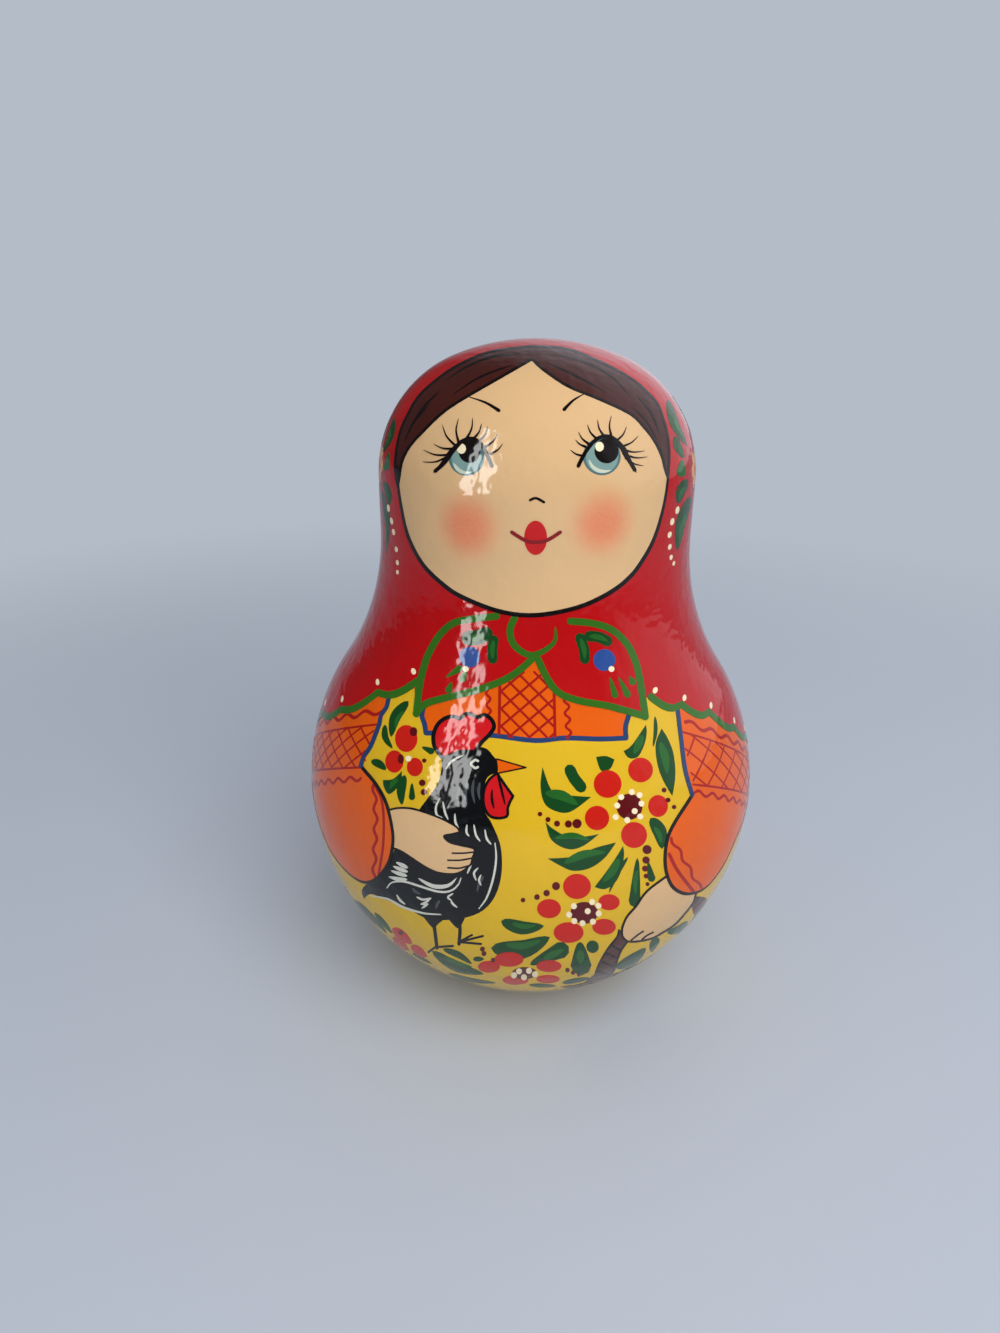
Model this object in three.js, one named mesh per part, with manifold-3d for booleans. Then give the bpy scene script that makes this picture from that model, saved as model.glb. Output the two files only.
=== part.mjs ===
// Wooden roly-poly doll: two turned and glued shells over a cast-iron ballast and a swinging chime.
// Millimetres, +Z up, the face looks along -Y.
// The origin is the middle of the small flat that the doll stands on.
import * as THREE from 'three';
import { mergeVertices } from 'three/addons/utils/BufferGeometryUtils.js';
import Module from 'manifold-3d';

const wasm = await Module();
wasm.setup();

// Turned outside: a round body, a hollow neck arc, a straight head and a crown of two arcs
const BODY_RADIUS = 55;
const REST_FLAT_RADIUS = 4;
const NECK_ARC_RADIUS = 58;
const HEAD_RADIUS = 35.4;
const HEAD_STRAIGHT = 12;
const CROWN_CORNER_RADIUS = 27.3;
const CROWN_ARC_RADIUS = 49.7;

// Turned inside and the glued joint
const WALL = 7;
const FLOOR_THICKNESS = 12.3;
const JOINT_HEIGHT = 62;
const SPIGOT_DEPTH = 6;
const RIM_WALL = 3.5;
const GLUE_LINE = 0.1;
const FIT_GAP = 0.3;

// Ballast and the screw that holds it to the base
const WEIGHT_HEIGHT = 13.7;
const BALLAST_SCREW_RADIUS = 2.5;
const BALLAST_SCREW_GRIP = 8;
const WASHER_THICKNESS = 1.2;
const WASHER_MARGIN = 2.6;

// Chime plate and its tuned rods: an octave of a major scale, counted in semitones
const PLATE_THICKNESS = 2.5;
const PLATE_CLEARANCE = 2.2;
const ROD_RADIUS = 1.5;
const ROD_LENGTH = 48;
const ROD_CHAMFER = 0.4;
const SCALE_SEMITONES = [0, 2, 4, 5, 7, 9, 11, 12];
const SEMITONES_PER_HALVING = 24;

// Hanger arch, bent from strip, and its screws
const ARCH_RISE = 69.5;
const ARCH_WIDTH = 8;
const ARCH_THICKNESS = 1.5;
const ARCH_BEND_RADIUS = 12;
const ARCH_FOOT_LENGTH = 8.5;
const ARCH_FOOT_MARGIN = 2;
const ARCH_ROD_CLEARANCE = 3.2;
const ARCH_SCREW_RADIUS = 1.5;
const ARCH_SCREW_GRIP = 4;

// Eye, link and striker, bent from wire
const WIRE_RADIUS = 0.6;
const LOOP_RADIUS = 3.2;
const SHANK_RADIUS = 1.25;
const NUT_HEIGHT = 2.4;
const NUT_MARGIN = 1.6;
const STEM_RADIUS = 1;
const STEM_SEAT_DEPTH = 6;
const BALL_RADIUS = 7.5;
const BALL_HEIGHT = 17.5;

// Screw heads
const HEAD_MARGIN = 1.5;
const HEAD_HEIGHT = 2;
const HEAD_CROWN = 0.5;
const SLOT_WIDTH = 0.9;
const SLOT_DEPTH = 0.9;

// Facets
const TURNED_SIDES = 48;
const BALL_SIDES = 24;
const PIN_SIDES = 12;
const SCREW_SIDES = 16;
const LOOP_STEPS = 24;
const WIRE_SIDES = 8;
const BOWL_STEPS = 12;
const SHOULDER_STEPS = 4;
const NECK_STEPS = 5;
const CORNER_STEPS = 6;
const CROWN_STEPS = 3;
const WEIGHT_STEPS = 4;
const BEND_STEPS = 6;
const BALL_STEPS = 12;

// Heights and radii that follow from the driving dimensions
const BODY_CENTRE_Z = Math.sqrt(BODY_RADIUS ** 2 - REST_FLAT_RADIUS ** 2);
const HOLLOW_RADIUS = BODY_RADIUS - WALL;
const NECK_CENTRE_R = HEAD_RADIUS + NECK_ARC_RADIUS;
const NECK_LIFT = Math.sqrt((BODY_RADIUS + NECK_ARC_RADIUS) ** 2 - NECK_CENTRE_R ** 2);
const NECK_CENTRE_Z = BODY_CENTRE_Z + NECK_LIFT;
const NECK_ANGLE = Math.atan2(NECK_LIFT, NECK_CENTRE_R);
const HEAD_TOP_Z = NECK_CENTRE_Z + HEAD_STRAIGHT;
const CORNER_CENTRE_R = HEAD_RADIUS - CROWN_CORNER_RADIUS;
const CROWN_DROP = Math.sqrt((CROWN_ARC_RADIUS - CROWN_CORNER_RADIUS) ** 2 - CORNER_CENTRE_R ** 2);
const CROWN_CENTRE_Z = HEAD_TOP_Z - CROWN_DROP;
const CROWN_ANGLE = Math.atan2(CROWN_DROP, CORNER_CENTRE_R);
const REBATE_RADIUS = bodyRadiusAt(BODY_RADIUS, JOINT_HEIGHT) - RIM_WALL;
const LEDGE_Z = JOINT_HEIGHT - SPIGOT_DEPTH;
const WEIGHT_TOP_Z = FLOOR_THICKNESS + WEIGHT_HEIGHT;
const PLATE_TOP_Z = WEIGHT_TOP_Z + PLATE_THICKNESS;
const PLATE_RADIUS = bodyRadiusAt(HOLLOW_RADIUS, WEIGHT_TOP_Z) - PLATE_CLEARANCE;
const ARCH_FOOT_END = PLATE_RADIUS - ARCH_FOOT_MARGIN;
const ARCH_OUTER = ARCH_FOOT_END - ARCH_FOOT_LENGTH;
const ARCH_INNER = ARCH_OUTER - ARCH_THICKNESS;
const ARCH_SCREW_X = (ARCH_OUTER + ARCH_FOOT_END) / 2;
const ARCH_TOP_Z = PLATE_TOP_Z + ARCH_RISE;
const ROD_RING_RADIUS = ARCH_INNER - ARCH_ROD_CLEARANCE - ROD_RADIUS;
const EYE_Z = ARCH_TOP_Z - ARCH_THICKNESS - FIT_GAP - WIRE_RADIUS - LOOP_RADIUS;
const LOOP_PITCH = 2 * LOOP_RADIUS - 2 * WIRE_RADIUS - FIT_GAP;
const LINK_Z = EYE_Z - LOOP_PITCH;
const STEM_LOOP_Z = LINK_Z - LOOP_PITCH;
const BALL_Z = PLATE_TOP_Z + BALL_HEIGHT;

// Radius of a ball about the body's centre at one height
function bodyRadiusAt(ballRadius, height) {
  return Math.sqrt(ballRadius ** 2 - (height - BODY_CENTRE_Z) ** 2);
}

// Angle, up from level, at which a ball about the body's centre reaches one height
function bodyAngleAt(ballRadius, height) {
  return Math.asin((height - BODY_CENTRE_Z) / ballRadius);
}

// Points along an arc in the turning plane (radius, height)
function arc(centreR, centreZ, radius, from, to, steps) {
  return Array.from({ length: steps + 1 }, (_, step) => {
    const angle = from + ((to - from) * step) / steps;
    return new THREE.Vector2(centreR + radius * Math.cos(angle), centreZ + radius * Math.sin(angle));
  });
}

// One closed body with merged corners, no empty triangles and its faces pointing out
function closedBody(geometry) {
  const bare = geometry.clone();
  bare.deleteAttribute('normal');
  bare.deleteAttribute('uv');
  const merged = mergeVertices(bare, 1e-4);
  const corner = new THREE.Vector3();
  const points = Array.from({ length: merged.attributes.position.count }, (_, at) =>
    corner.fromBufferAttribute(merged.attributes.position, at).clone());
  const faces = [];
  let volume = 0;
  for (let at = 0; at < merged.index.count; at += 3) {
    const [a, b, c] = [0, 1, 2].map((step) => merged.index.getX(at + step));
    if (a === b || b === c || c === a) continue;
    faces.push([a, b, c]);
    volume += points[a].dot(corner.crossVectors(points[b], points[c]));
  }
  merged.setIndex((volume < 0 ? faces.map(([a, b, c]) => [a, c, b]) : faces).flat());
  merged.computeVertexNormals();
  return merged;
}

// A closed body as a solid that can be joined and cut
function asSolid(geometry) {
  const body = closedBody(geometry);
  return new wasm.Manifold(new wasm.Mesh({
    numProp: 3,
    vertProperties: new Float32Array(body.attributes.position.array),
    triVerts: new Uint32Array(body.index.array),
  }));
}

// The geometry of a joined or cut solid
function asGeometry(solid) {
  const mesh = solid.getMesh();
  const geometry = new THREE.BufferGeometry();
  geometry.setAttribute('position', new THREE.BufferAttribute(new Float32Array(mesh.vertProperties), 3));
  geometry.setIndex(new THREE.BufferAttribute(new Uint32Array(mesh.triVerts), 1));
  geometry.computeVertexNormals();
  return geometry;
}

// A profile turned about the Z axis
function turned(profile, sides) {
  const points = profile.filter((point, at) => at === 0 || point.distanceTo(profile[at - 1]) > 1e-6);
  return closedBody(new THREE.LatheGeometry(points, sides).rotateX(Math.PI / 2));
}

// A cylinder along Z between two heights
function pin(radius, fromZ, toZ, sides) {
  const geometry = new THREE.CylinderGeometry(radius, radius, toZ - fromZ, sides).rotateX(Math.PI / 2);
  return geometry.translate(0, 0, (fromZ + toZ) / 2);
}

// A wire loop standing in the XZ plane about one height
function wireLoop(height) {
  const loop = new THREE.TorusGeometry(LOOP_RADIUS, WIRE_RADIUS, WIRE_SIDES, LOOP_STEPS);
  return loop.rotateX(Math.PI / 2).translate(0, 0, height);
}

// A circle as a hole in a flat shape
function roundHole(x, y, radius) {
  return new THREE.Path().absarc(x, y, radius, 0, 2 * Math.PI, true);
}

// Turned outline of the upper part, drawn in from the surface by an offset, from one height up to the axis
function upperCurve(offset, fromZ) {
  const bodyRadius = BODY_RADIUS - offset;
  const neckRadius = NECK_ARC_RADIUS + offset;
  const cornerRadius = CROWN_CORNER_RADIUS - offset;
  const crownRadius = CROWN_ARC_RADIUS - offset;
  return [
    ...arc(0, BODY_CENTRE_Z, bodyRadius, bodyAngleAt(bodyRadius, fromZ), NECK_ANGLE, SHOULDER_STEPS),
    ...arc(NECK_CENTRE_R, NECK_CENTRE_Z, neckRadius, Math.PI + NECK_ANGLE, Math.PI, NECK_STEPS),
    ...arc(CORNER_CENTRE_R, HEAD_TOP_Z, cornerRadius, 0, CROWN_ANGLE, CORNER_STEPS),
    ...arc(0, CROWN_CENTRE_Z, crownRadius, CROWN_ANGLE, Math.PI / 2, CROWN_STEPS),
  ];
}

// Lower shell: a bowl with a thick floor, a pilot hole for the ballast screw and a rebated rim
function lowerShell() {
  const pilotRadius = BALLAST_SCREW_RADIUS + FIT_GAP;
  const pilotBottom = FLOOR_THICKNESS - BALLAST_SCREW_GRIP - FIT_GAP;
  const outerFrom = bodyAngleAt(BODY_RADIUS, 0);
  const outerTo = bodyAngleAt(BODY_RADIUS, JOINT_HEIGHT);
  const innerFrom = bodyAngleAt(HOLLOW_RADIUS, LEDGE_Z);
  const innerTo = bodyAngleAt(HOLLOW_RADIUS, FLOOR_THICKNESS);
  return turned([
    new THREE.Vector2(0, 0),
    ...arc(0, BODY_CENTRE_Z, BODY_RADIUS, outerFrom, outerTo, BOWL_STEPS),
    new THREE.Vector2(REBATE_RADIUS, JOINT_HEIGHT),
    new THREE.Vector2(REBATE_RADIUS, LEDGE_Z),
    ...arc(0, BODY_CENTRE_Z, HOLLOW_RADIUS, innerFrom, innerTo, BOWL_STEPS),
    new THREE.Vector2(pilotRadius, FLOOR_THICKNESS),
    new THREE.Vector2(pilotRadius, pilotBottom),
    new THREE.Vector2(0, pilotBottom),
  ], TURNED_SIDES);
}

// Upper shell: shoulders, neck and head in one turning, with a spigot that is glued into the rebate
function upperShell() {
  const rimZ = JOINT_HEIGHT + GLUE_LINE;
  const spigotRadius = REBATE_RADIUS - GLUE_LINE;
  const spigotZ = LEDGE_Z + GLUE_LINE;
  return turned([
    ...upperCurve(0, rimZ).reverse(),
    new THREE.Vector2(spigotRadius, rimZ),
    new THREE.Vector2(spigotRadius, spigotZ),
    ...upperCurve(WALL, spigotZ),
  ], TURNED_SIDES);
}

// Ballast: a casting that fits the bowl, bored for its screw and tapped for the arch screws
function ballastWeight() {
  const sideRadius = HOLLOW_RADIUS - FIT_GAP;
  const boreRadius = BALLAST_SCREW_RADIUS + FIT_GAP;
  const from = bodyAngleAt(sideRadius, FLOOR_THICKNESS);
  const to = bodyAngleAt(sideRadius, WEIGHT_TOP_Z);
  const casting = asSolid(turned([
    new THREE.Vector2(boreRadius, FLOOR_THICKNESS),
    ...arc(0, BODY_CENTRE_Z, sideRadius, from, to, WEIGHT_STEPS),
    new THREE.Vector2(boreRadius, WEIGHT_TOP_Z),
    new THREE.Vector2(boreRadius, FLOOR_THICKNESS),
  ], TURNED_SIDES));
  const tappedBottom = WEIGHT_TOP_Z - ARCH_SCREW_GRIP - FIT_GAP;
  const tapped = pin(ARCH_SCREW_RADIUS + FIT_GAP, tappedBottom, PLATE_TOP_Z, PIN_SIDES);
  const cuts = [-ARCH_SCREW_X, ARCH_SCREW_X].map((x) => asSolid(tapped.clone().translate(x, 0, 0)));
  return asGeometry(casting.subtract(cuts[0]).subtract(cuts[1]));
}

// Slotted pan-head screw, measured from the underside of its head, with a pointed tip
function panScrew(radius, shankLength) {
  const headRadius = radius + HEAD_MARGIN;
  const screw = asSolid(turned([
    new THREE.Vector2(0, -shankLength),
    new THREE.Vector2(radius, radius - shankLength),
    new THREE.Vector2(radius, 0),
    new THREE.Vector2(headRadius, 0),
    new THREE.Vector2(headRadius, HEAD_HEIGHT - HEAD_CROWN),
    new THREE.Vector2(headRadius - HEAD_CROWN, HEAD_HEIGHT),
    new THREE.Vector2(0, HEAD_HEIGHT),
  ], SCREW_SIDES));
  const slot = new THREE.BoxGeometry(2 * headRadius + SLOT_WIDTH, SLOT_WIDTH, 2 * SLOT_DEPTH);
  return asGeometry(screw.subtract(asSolid(slot.translate(0, 0, HEAD_HEIGHT))));
}

// Flat washer under the ballast screw's head, measured from its underside
function washer() {
  const inner = BALLAST_SCREW_RADIUS + FIT_GAP;
  const outer = BALLAST_SCREW_RADIUS + HEAD_MARGIN + WASHER_MARGIN;
  const ring = [[inner, 0], [outer, 0], [outer, WASHER_THICKNESS], [inner, WASHER_THICKNESS], [inner, 0]];
  return turned(ring.map(([radius, height]) => new THREE.Vector2(radius, height)), BALL_SIDES);
}

// Place of one rod on its ring
function rodPlace(index) {
  const angle = (2 * Math.PI * (index + 0.5)) / SCALE_SEMITONES.length;
  return [ROD_RING_RADIUS * Math.cos(angle), ROD_RING_RADIUS * Math.sin(angle)];
}

// Chime plate, drilled for the rods, the ballast screw and the arch screws
function chimePlate() {
  const disc = new THREE.Shape().absarc(0, 0, PLATE_RADIUS, 0, 2 * Math.PI, false);
  disc.holes.push(roundHole(0, 0, BALLAST_SCREW_RADIUS + FIT_GAP));
  for (const x of [-ARCH_SCREW_X, ARCH_SCREW_X]) {
    disc.holes.push(roundHole(x, 0, ARCH_SCREW_RADIUS + FIT_GAP));
  }
  SCALE_SEMITONES.forEach((_, index) => {
    disc.holes.push(roundHole(...rodPlace(index), ROD_RADIUS + FIT_GAP));
  });
  const settings = { depth: PLATE_THICKNESS, bevelEnabled: false, curveSegments: PIN_SIDES };
  return closedBody(new THREE.ExtrudeGeometry(disc, settings));
}

// Chime rod, standing on the ballast through its hole in the plate: a higher note is a shorter rod
function chimeRod(semitones) {
  const length = PLATE_THICKNESS + ROD_LENGTH * 2 ** (-semitones / SEMITONES_PER_HALVING);
  return turned([
    new THREE.Vector2(0, 0),
    new THREE.Vector2(ROD_RADIUS, 0),
    new THREE.Vector2(ROD_RADIUS, length - ROD_CHAMFER),
    new THREE.Vector2(ROD_RADIUS - ROD_CHAMFER, length),
    new THREE.Vector2(0, length),
  ], PIN_SIDES);
}

// Hanger arch: strip bent twice at the top and turned out into two feet, measured from the plate
function hangerArch() {
  const outerBend = ARCH_BEND_RADIUS + ARCH_THICKNESS;
  const bendX = ARCH_INNER - ARCH_BEND_RADIUS;
  const bendZ = ARCH_RISE - outerBend;
  const strip = new THREE.Shape();
  strip.moveTo(-ARCH_FOOT_END, 0);
  strip.lineTo(-ARCH_INNER, 0);
  strip.absarc(-bendX, bendZ, ARCH_BEND_RADIUS, Math.PI, Math.PI / 2, true);
  strip.absarc(bendX, bendZ, ARCH_BEND_RADIUS, Math.PI / 2, 0, true);
  strip.lineTo(ARCH_INNER, 0);
  strip.lineTo(ARCH_FOOT_END, 0);
  strip.lineTo(ARCH_FOOT_END, ARCH_THICKNESS);
  strip.lineTo(ARCH_OUTER, ARCH_THICKNESS);
  strip.absarc(bendX, bendZ, outerBend, 0, Math.PI / 2, false);
  strip.absarc(-bendX, bendZ, outerBend, Math.PI / 2, Math.PI, false);
  strip.lineTo(-ARCH_OUTER, ARCH_THICKNESS);
  strip.lineTo(-ARCH_FOOT_END, ARCH_THICKNESS);
  const settings = { depth: ARCH_WIDTH, bevelEnabled: false, curveSegments: BEND_STEPS };
  const bent = new THREE.ExtrudeGeometry(strip, settings).rotateX(Math.PI / 2);
  bent.translate(0, ARCH_WIDTH / 2, 0);
  const footHole = pin(ARCH_SCREW_RADIUS + FIT_GAP, -ARCH_THICKNESS, 2 * ARCH_THICKNESS, PIN_SIDES);
  const topHoleFrom = ARCH_RISE - 2 * ARCH_THICKNESS;
  const topHole = pin(SHANK_RADIUS + FIT_GAP, topHoleFrom, ARCH_RISE + ARCH_THICKNESS, PIN_SIDES);
  const footHoles = [-ARCH_SCREW_X, ARCH_SCREW_X].map((x) => asSolid(footHole.clone().translate(x, 0, 0)));
  const drilled = footHoles.reduce((arch, hole) => arch.subtract(hole), asSolid(bent));
  return asGeometry(drilled.subtract(asSolid(topHole)));
}

// Eye bolt: a closed loop under the arch with a shank through it and its nut
function hangerEye() {
  const shankTop = ARCH_TOP_Z + NUT_HEIGHT + SHANK_RADIUS;
  const shank = asSolid(pin(SHANK_RADIUS, EYE_Z + LOOP_RADIUS, shankTop, PIN_SIDES));
  return asGeometry(asSolid(wireLoop(EYE_Z)).add(shank));
}

// Hexagon nut on the eye bolt, measured from its underside
function hangerNut() {
  const corner = SHANK_RADIUS + FIT_GAP + NUT_MARGIN;
  const hexagon = new THREE.Shape(Array.from({ length: 6 }, (_, side) =>
    new THREE.Vector2(corner * Math.cos((side * Math.PI) / 3), corner * Math.sin((side * Math.PI) / 3))));
  hexagon.holes.push(roundHole(0, 0, SHANK_RADIUS + FIT_GAP));
  const settings = { depth: NUT_HEIGHT, bevelEnabled: false, curveSegments: PIN_SIDES };
  return closedBody(new THREE.ExtrudeGeometry(hexagon, settings));
}

// Link: a plain ring across the eye, a quarter turn from it
function strikerLink() {
  return closedBody(wireLoop(0).rotateZ(Math.PI / 2).translate(0, 0, LINK_Z));
}

// Striker stem: a loop on the link and a rod down into the ball
function strikerStem() {
  const rodBottom = BALL_Z + BALL_RADIUS - STEM_SEAT_DEPTH;
  const rod = asSolid(pin(STEM_RADIUS, rodBottom, STEM_LOOP_Z - LOOP_RADIUS, PIN_SIDES));
  return asGeometry(asSolid(wireLoop(STEM_LOOP_Z)).add(rod));
}

// Striker ball, drilled from the top for its stem, measured from its centre
function strikerBall() {
  const holeRadius = STEM_RADIUS + FIT_GAP;
  const holeBottom = BALL_RADIUS - STEM_SEAT_DEPTH - FIT_GAP;
  const mouth = Math.acos(holeRadius / BALL_RADIUS);
  return turned([
    ...arc(0, 0, BALL_RADIUS, -Math.PI / 2, mouth, BALL_STEPS),
    new THREE.Vector2(holeRadius, holeBottom),
    new THREE.Vector2(0, holeBottom),
  ], BALL_SIDES);
}

// Finishes
const lacqueredWood = { color: 0xa5161c, roughness: 0.2, metalness: 0 };
const castIron = { color: 0x3a3a3c, roughness: 0.75, metalness: 0.6 };
const steel = { color: 0xb4b6b8, roughness: 0.32, metalness: 1 };
const brass = { color: 0xc79a4a, roughness: 0.3, metalness: 1 };

// A named piece with a material of its own, lifted to its height
function piece(name, geometry, finish, x = 0, y = 0, z = 0) {
  const mesh = new THREE.Mesh(geometry, new THREE.MeshStandardMaterial(finish));
  mesh.name = name;
  mesh.position.set(x, y, z);
  return mesh;
}

const shells = new THREE.Group();
shells.add(piece('lower_shell', lowerShell(), lacqueredWood));
shells.add(piece('upper_shell', upperShell(), lacqueredWood));

const ballast = new THREE.Group();
const ballastShank = BALLAST_SCREW_GRIP + WEIGHT_HEIGHT + PLATE_THICKNESS + WASHER_THICKNESS;
const ballastHeadZ = PLATE_TOP_Z + WASHER_THICKNESS;
ballast.add(piece('ballast_weight', ballastWeight(), castIron));
ballast.add(piece('ballast_washer', washer(), steel, 0, 0, PLATE_TOP_Z));
const ballastScrew = panScrew(BALLAST_SCREW_RADIUS, ballastShank);
ballast.add(piece('ballast_screw', ballastScrew, steel, 0, 0, ballastHeadZ));

const chime = new THREE.Group();
chime.add(piece('chime_plate', chimePlate(), steel, 0, 0, WEIGHT_TOP_Z));
SCALE_SEMITONES.forEach((semitones, index) => {
  chime.add(piece(`chime_rod_${index + 1}`, chimeRod(semitones), steel, ...rodPlace(index), WEIGHT_TOP_Z));
});

const hanger = new THREE.Group();
const archShank = ARCH_SCREW_GRIP + PLATE_THICKNESS + ARCH_THICKNESS;
const archHeadZ = PLATE_TOP_Z + ARCH_THICKNESS;
hanger.add(piece('hanger_arch', hangerArch(), steel, 0, 0, PLATE_TOP_Z));
const archScrew = panScrew(ARCH_SCREW_RADIUS, archShank);
hanger.add(piece('arch_screw_left', archScrew, steel, -ARCH_SCREW_X, 0, archHeadZ));
hanger.add(piece('arch_screw_right', archScrew, steel, ARCH_SCREW_X, 0, archHeadZ));
hanger.add(piece('hanger_eye', hangerEye(), steel));
hanger.add(piece('hanger_nut', hangerNut(), steel, 0, 0, ARCH_TOP_Z));

const striker = new THREE.Group();
striker.add(piece('striker_link', strikerLink(), steel));
striker.add(piece('striker_stem', strikerStem(), steel));
striker.add(piece('striker_ball', strikerBall(), brass, 0, 0, BALL_Z));

const doll = new THREE.Group();
doll.add(shells, ballast, chime, hanger, striker);

export default doll;
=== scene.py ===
"""A painted roly-poly doll of turned lime wood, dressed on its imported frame.

Sizes are millimetres unless a name says otherwise, and MM turns them into Blender's metres. A painted
shape is laid out flat on a chart and cast on the doll's turned skin. One chart is the picture plane of
the 1000 by 1333 photograph, in pixels, and the other is the skin itself, unrolled in millimetres round
a place that is named by its turn (degrees, 0 in front, positive to the viewer's right) and its height.
A value that differs from side to side is given for the viewer's left first, as in SIDES.
"""

from __future__ import annotations

import logging
import math
from dataclasses import dataclass, field
from enum import Enum, IntEnum
from typing import Iterable, Mapping, Protocol, Sequence

import bmesh
import bpy
from mathutils import Color, Matrix, Vector


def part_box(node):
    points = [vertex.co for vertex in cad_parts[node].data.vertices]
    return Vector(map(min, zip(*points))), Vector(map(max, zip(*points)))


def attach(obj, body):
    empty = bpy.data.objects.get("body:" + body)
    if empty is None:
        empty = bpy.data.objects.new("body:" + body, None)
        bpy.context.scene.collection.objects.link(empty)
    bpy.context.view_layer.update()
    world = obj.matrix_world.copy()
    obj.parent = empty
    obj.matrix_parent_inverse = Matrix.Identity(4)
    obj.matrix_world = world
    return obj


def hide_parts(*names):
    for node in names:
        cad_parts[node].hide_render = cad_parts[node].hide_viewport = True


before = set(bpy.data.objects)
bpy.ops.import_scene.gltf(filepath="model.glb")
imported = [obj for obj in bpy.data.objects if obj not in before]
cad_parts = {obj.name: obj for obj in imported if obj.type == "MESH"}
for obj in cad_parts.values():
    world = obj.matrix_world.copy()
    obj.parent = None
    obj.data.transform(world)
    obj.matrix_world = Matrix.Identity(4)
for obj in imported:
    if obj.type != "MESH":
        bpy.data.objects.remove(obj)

MM = 0.001
BODY = "body"
SIDES = (-1, 1)
BACK = 180.0
NEAR = 1e-6
LOG = logging.getLogger("doll")

Pair = tuple[float, float]
Triple = tuple[float, float, float]
Run = tuple[Pair, ...]
Runs = tuple[Run, ...]
Leaves = tuple[tuple[Pair, Pair, float, float], ...]
Drops = tuple[tuple[Pair, Pair, float], ...]
Ovals = tuple[tuple[Pair, float, float], ...]
Rounds = tuple[tuple[Pair, float], ...]
Colour = tuple[int, int, int]


def linear(colour: Colour, share: float = 1.0) -> tuple[float, ...]:
    """Turns a screen colour into the linear light that a shader takes.

    Args:
        colour: Red, green and blue from 0 to 255.
        share: How much of the light is kept.

    Returns:
        The linear colour with an alpha of 1.
    """
    screen = Color([level / 255.0 for level in colour])
    return (*(min(1.0, level * share) for level in screen.from_srgb_to_scene_linear()), 1.0)


def mix(start: float, end: float, share: float) -> float:
    """Returns the value that lies a share of the way from start to end."""
    return start + (end - start) * share


def steps_between(start: float, end: float, count: int) -> list[float]:
    """Returns the values that divide a stretch into equal parts, with both ends."""
    return [mix(start, end, step / count) for step in range(count + 1)]


def level_at(marks: Sequence[Pair], x: float) -> float:
    """Follows the straight lines through marks.

    Args:
        marks: Places, in the order of their first value.
        x: A first value.

    Returns:
        The second value there, or the nearer end's beyond the marks.
    """
    after = next((index for index, mark in enumerate(marks) if mark[0] >= x - NEAR), len(marks) - 1)
    (start, low), (end, high) = marks[max(after - 1, 0)], marks[after]
    share = 1.0 if end <= start else (x - start) / (end - start)
    return mix(low, high, min(max(share, 0.0), 1.0))


@dataclass(frozen=True)
class Field:
    """A shader value that takes Python's arithmetic and adds its Math nodes.

    Attributes:
        graph: The nodes that it belongs to.
        socket: The output socket that gives it.
    """

    graph: Graph
    socket: bpy.types.NodeSocket

    def _math(self, operation: str, other: Field | float) -> Field:
        """Adds one Math node and returns its result."""
        made = self.graph.node("ShaderNodeMath", {"operation": operation}, {0: self, 1: other})
        return Field(self.graph, made.outputs[0])

    def __add__(self, other: Field | float) -> Field:
        """Adds, in either order."""
        return self._math("ADD", other)

    def __mul__(self, other: Field | float) -> Field:
        """Multiplies, in either order."""
        return self._math("MULTIPLY", other)

    __radd__ = __add__
    __rmul__ = __mul__


class Graph:
    """The nodes of a material or of the world, empty at first."""

    def __init__(self, owner: bpy.types.Material | bpy.types.World) -> None:
        """Clears the owner's nodes.

        Args:
            owner: The material or world.
        """
        owner.use_nodes = True
        self.tree = owner.node_tree
        self.tree.nodes.clear()

    def fill(self, node: bpy.types.Node, inputs: Mapping[str | int, object]) -> None:
        """Fills a node's sockets.

        Args:
            node: The node.
            inputs: A value, a socket or a Field for each named or numbered socket.
        """
        for key, value in inputs.items():
            source = value.socket if isinstance(value, Field) else value
            if isinstance(source, bpy.types.NodeSocket):
                self.tree.links.new(source, node.inputs[key])
            else:
                node.inputs[key].default_value = source

    def node(
        self,
        kind: str,
        settings: Mapping[str, object] | None = None,
        inputs: Mapping[str | int, object] | None = None,
    ) -> bpy.types.Node:
        """Adds a node, sets it up and fills its sockets.

        Args:
            kind: The node's type.
            settings: Its properties, which are set first.
            inputs: What its sockets get.

        Returns:
            The new node.
        """
        made = self.tree.nodes.new(kind)
        for key, value in (settings or {}).items():
            setattr(made, key, value)
        self.fill(made, inputs or {})
        return made

    def measure(self, operation: str, *vectors: object) -> Field:
        """Returns the number that a Vector Math operation makes of one or two vectors."""
        made = self.node("ShaderNodeVectorMath", {"operation": operation}, dict(enumerate(vectors)))
        return Field(self, made.outputs["Value"])

    def ramp(self, value: Field, low: float, high: float) -> Field:
        """Returns a smooth share that grows from 0 to 1 between two values."""
        inputs = {"Value": value, "From Min": low, "From Max": high}
        made = self.node("ShaderNodeMapRange", {"interpolation_type": "SMOOTHSTEP"}, inputs)
        return Field(self, made.outputs[0])

    def mixed(self, share: object, first: object, second: object) -> bpy.types.NodeSocket:
        """Returns a mix of two shaders, the second by a share."""
        return self.node("ShaderNodeMixShader", {}, {0: share, 1: first, 2: second}).outputs[0]


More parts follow.
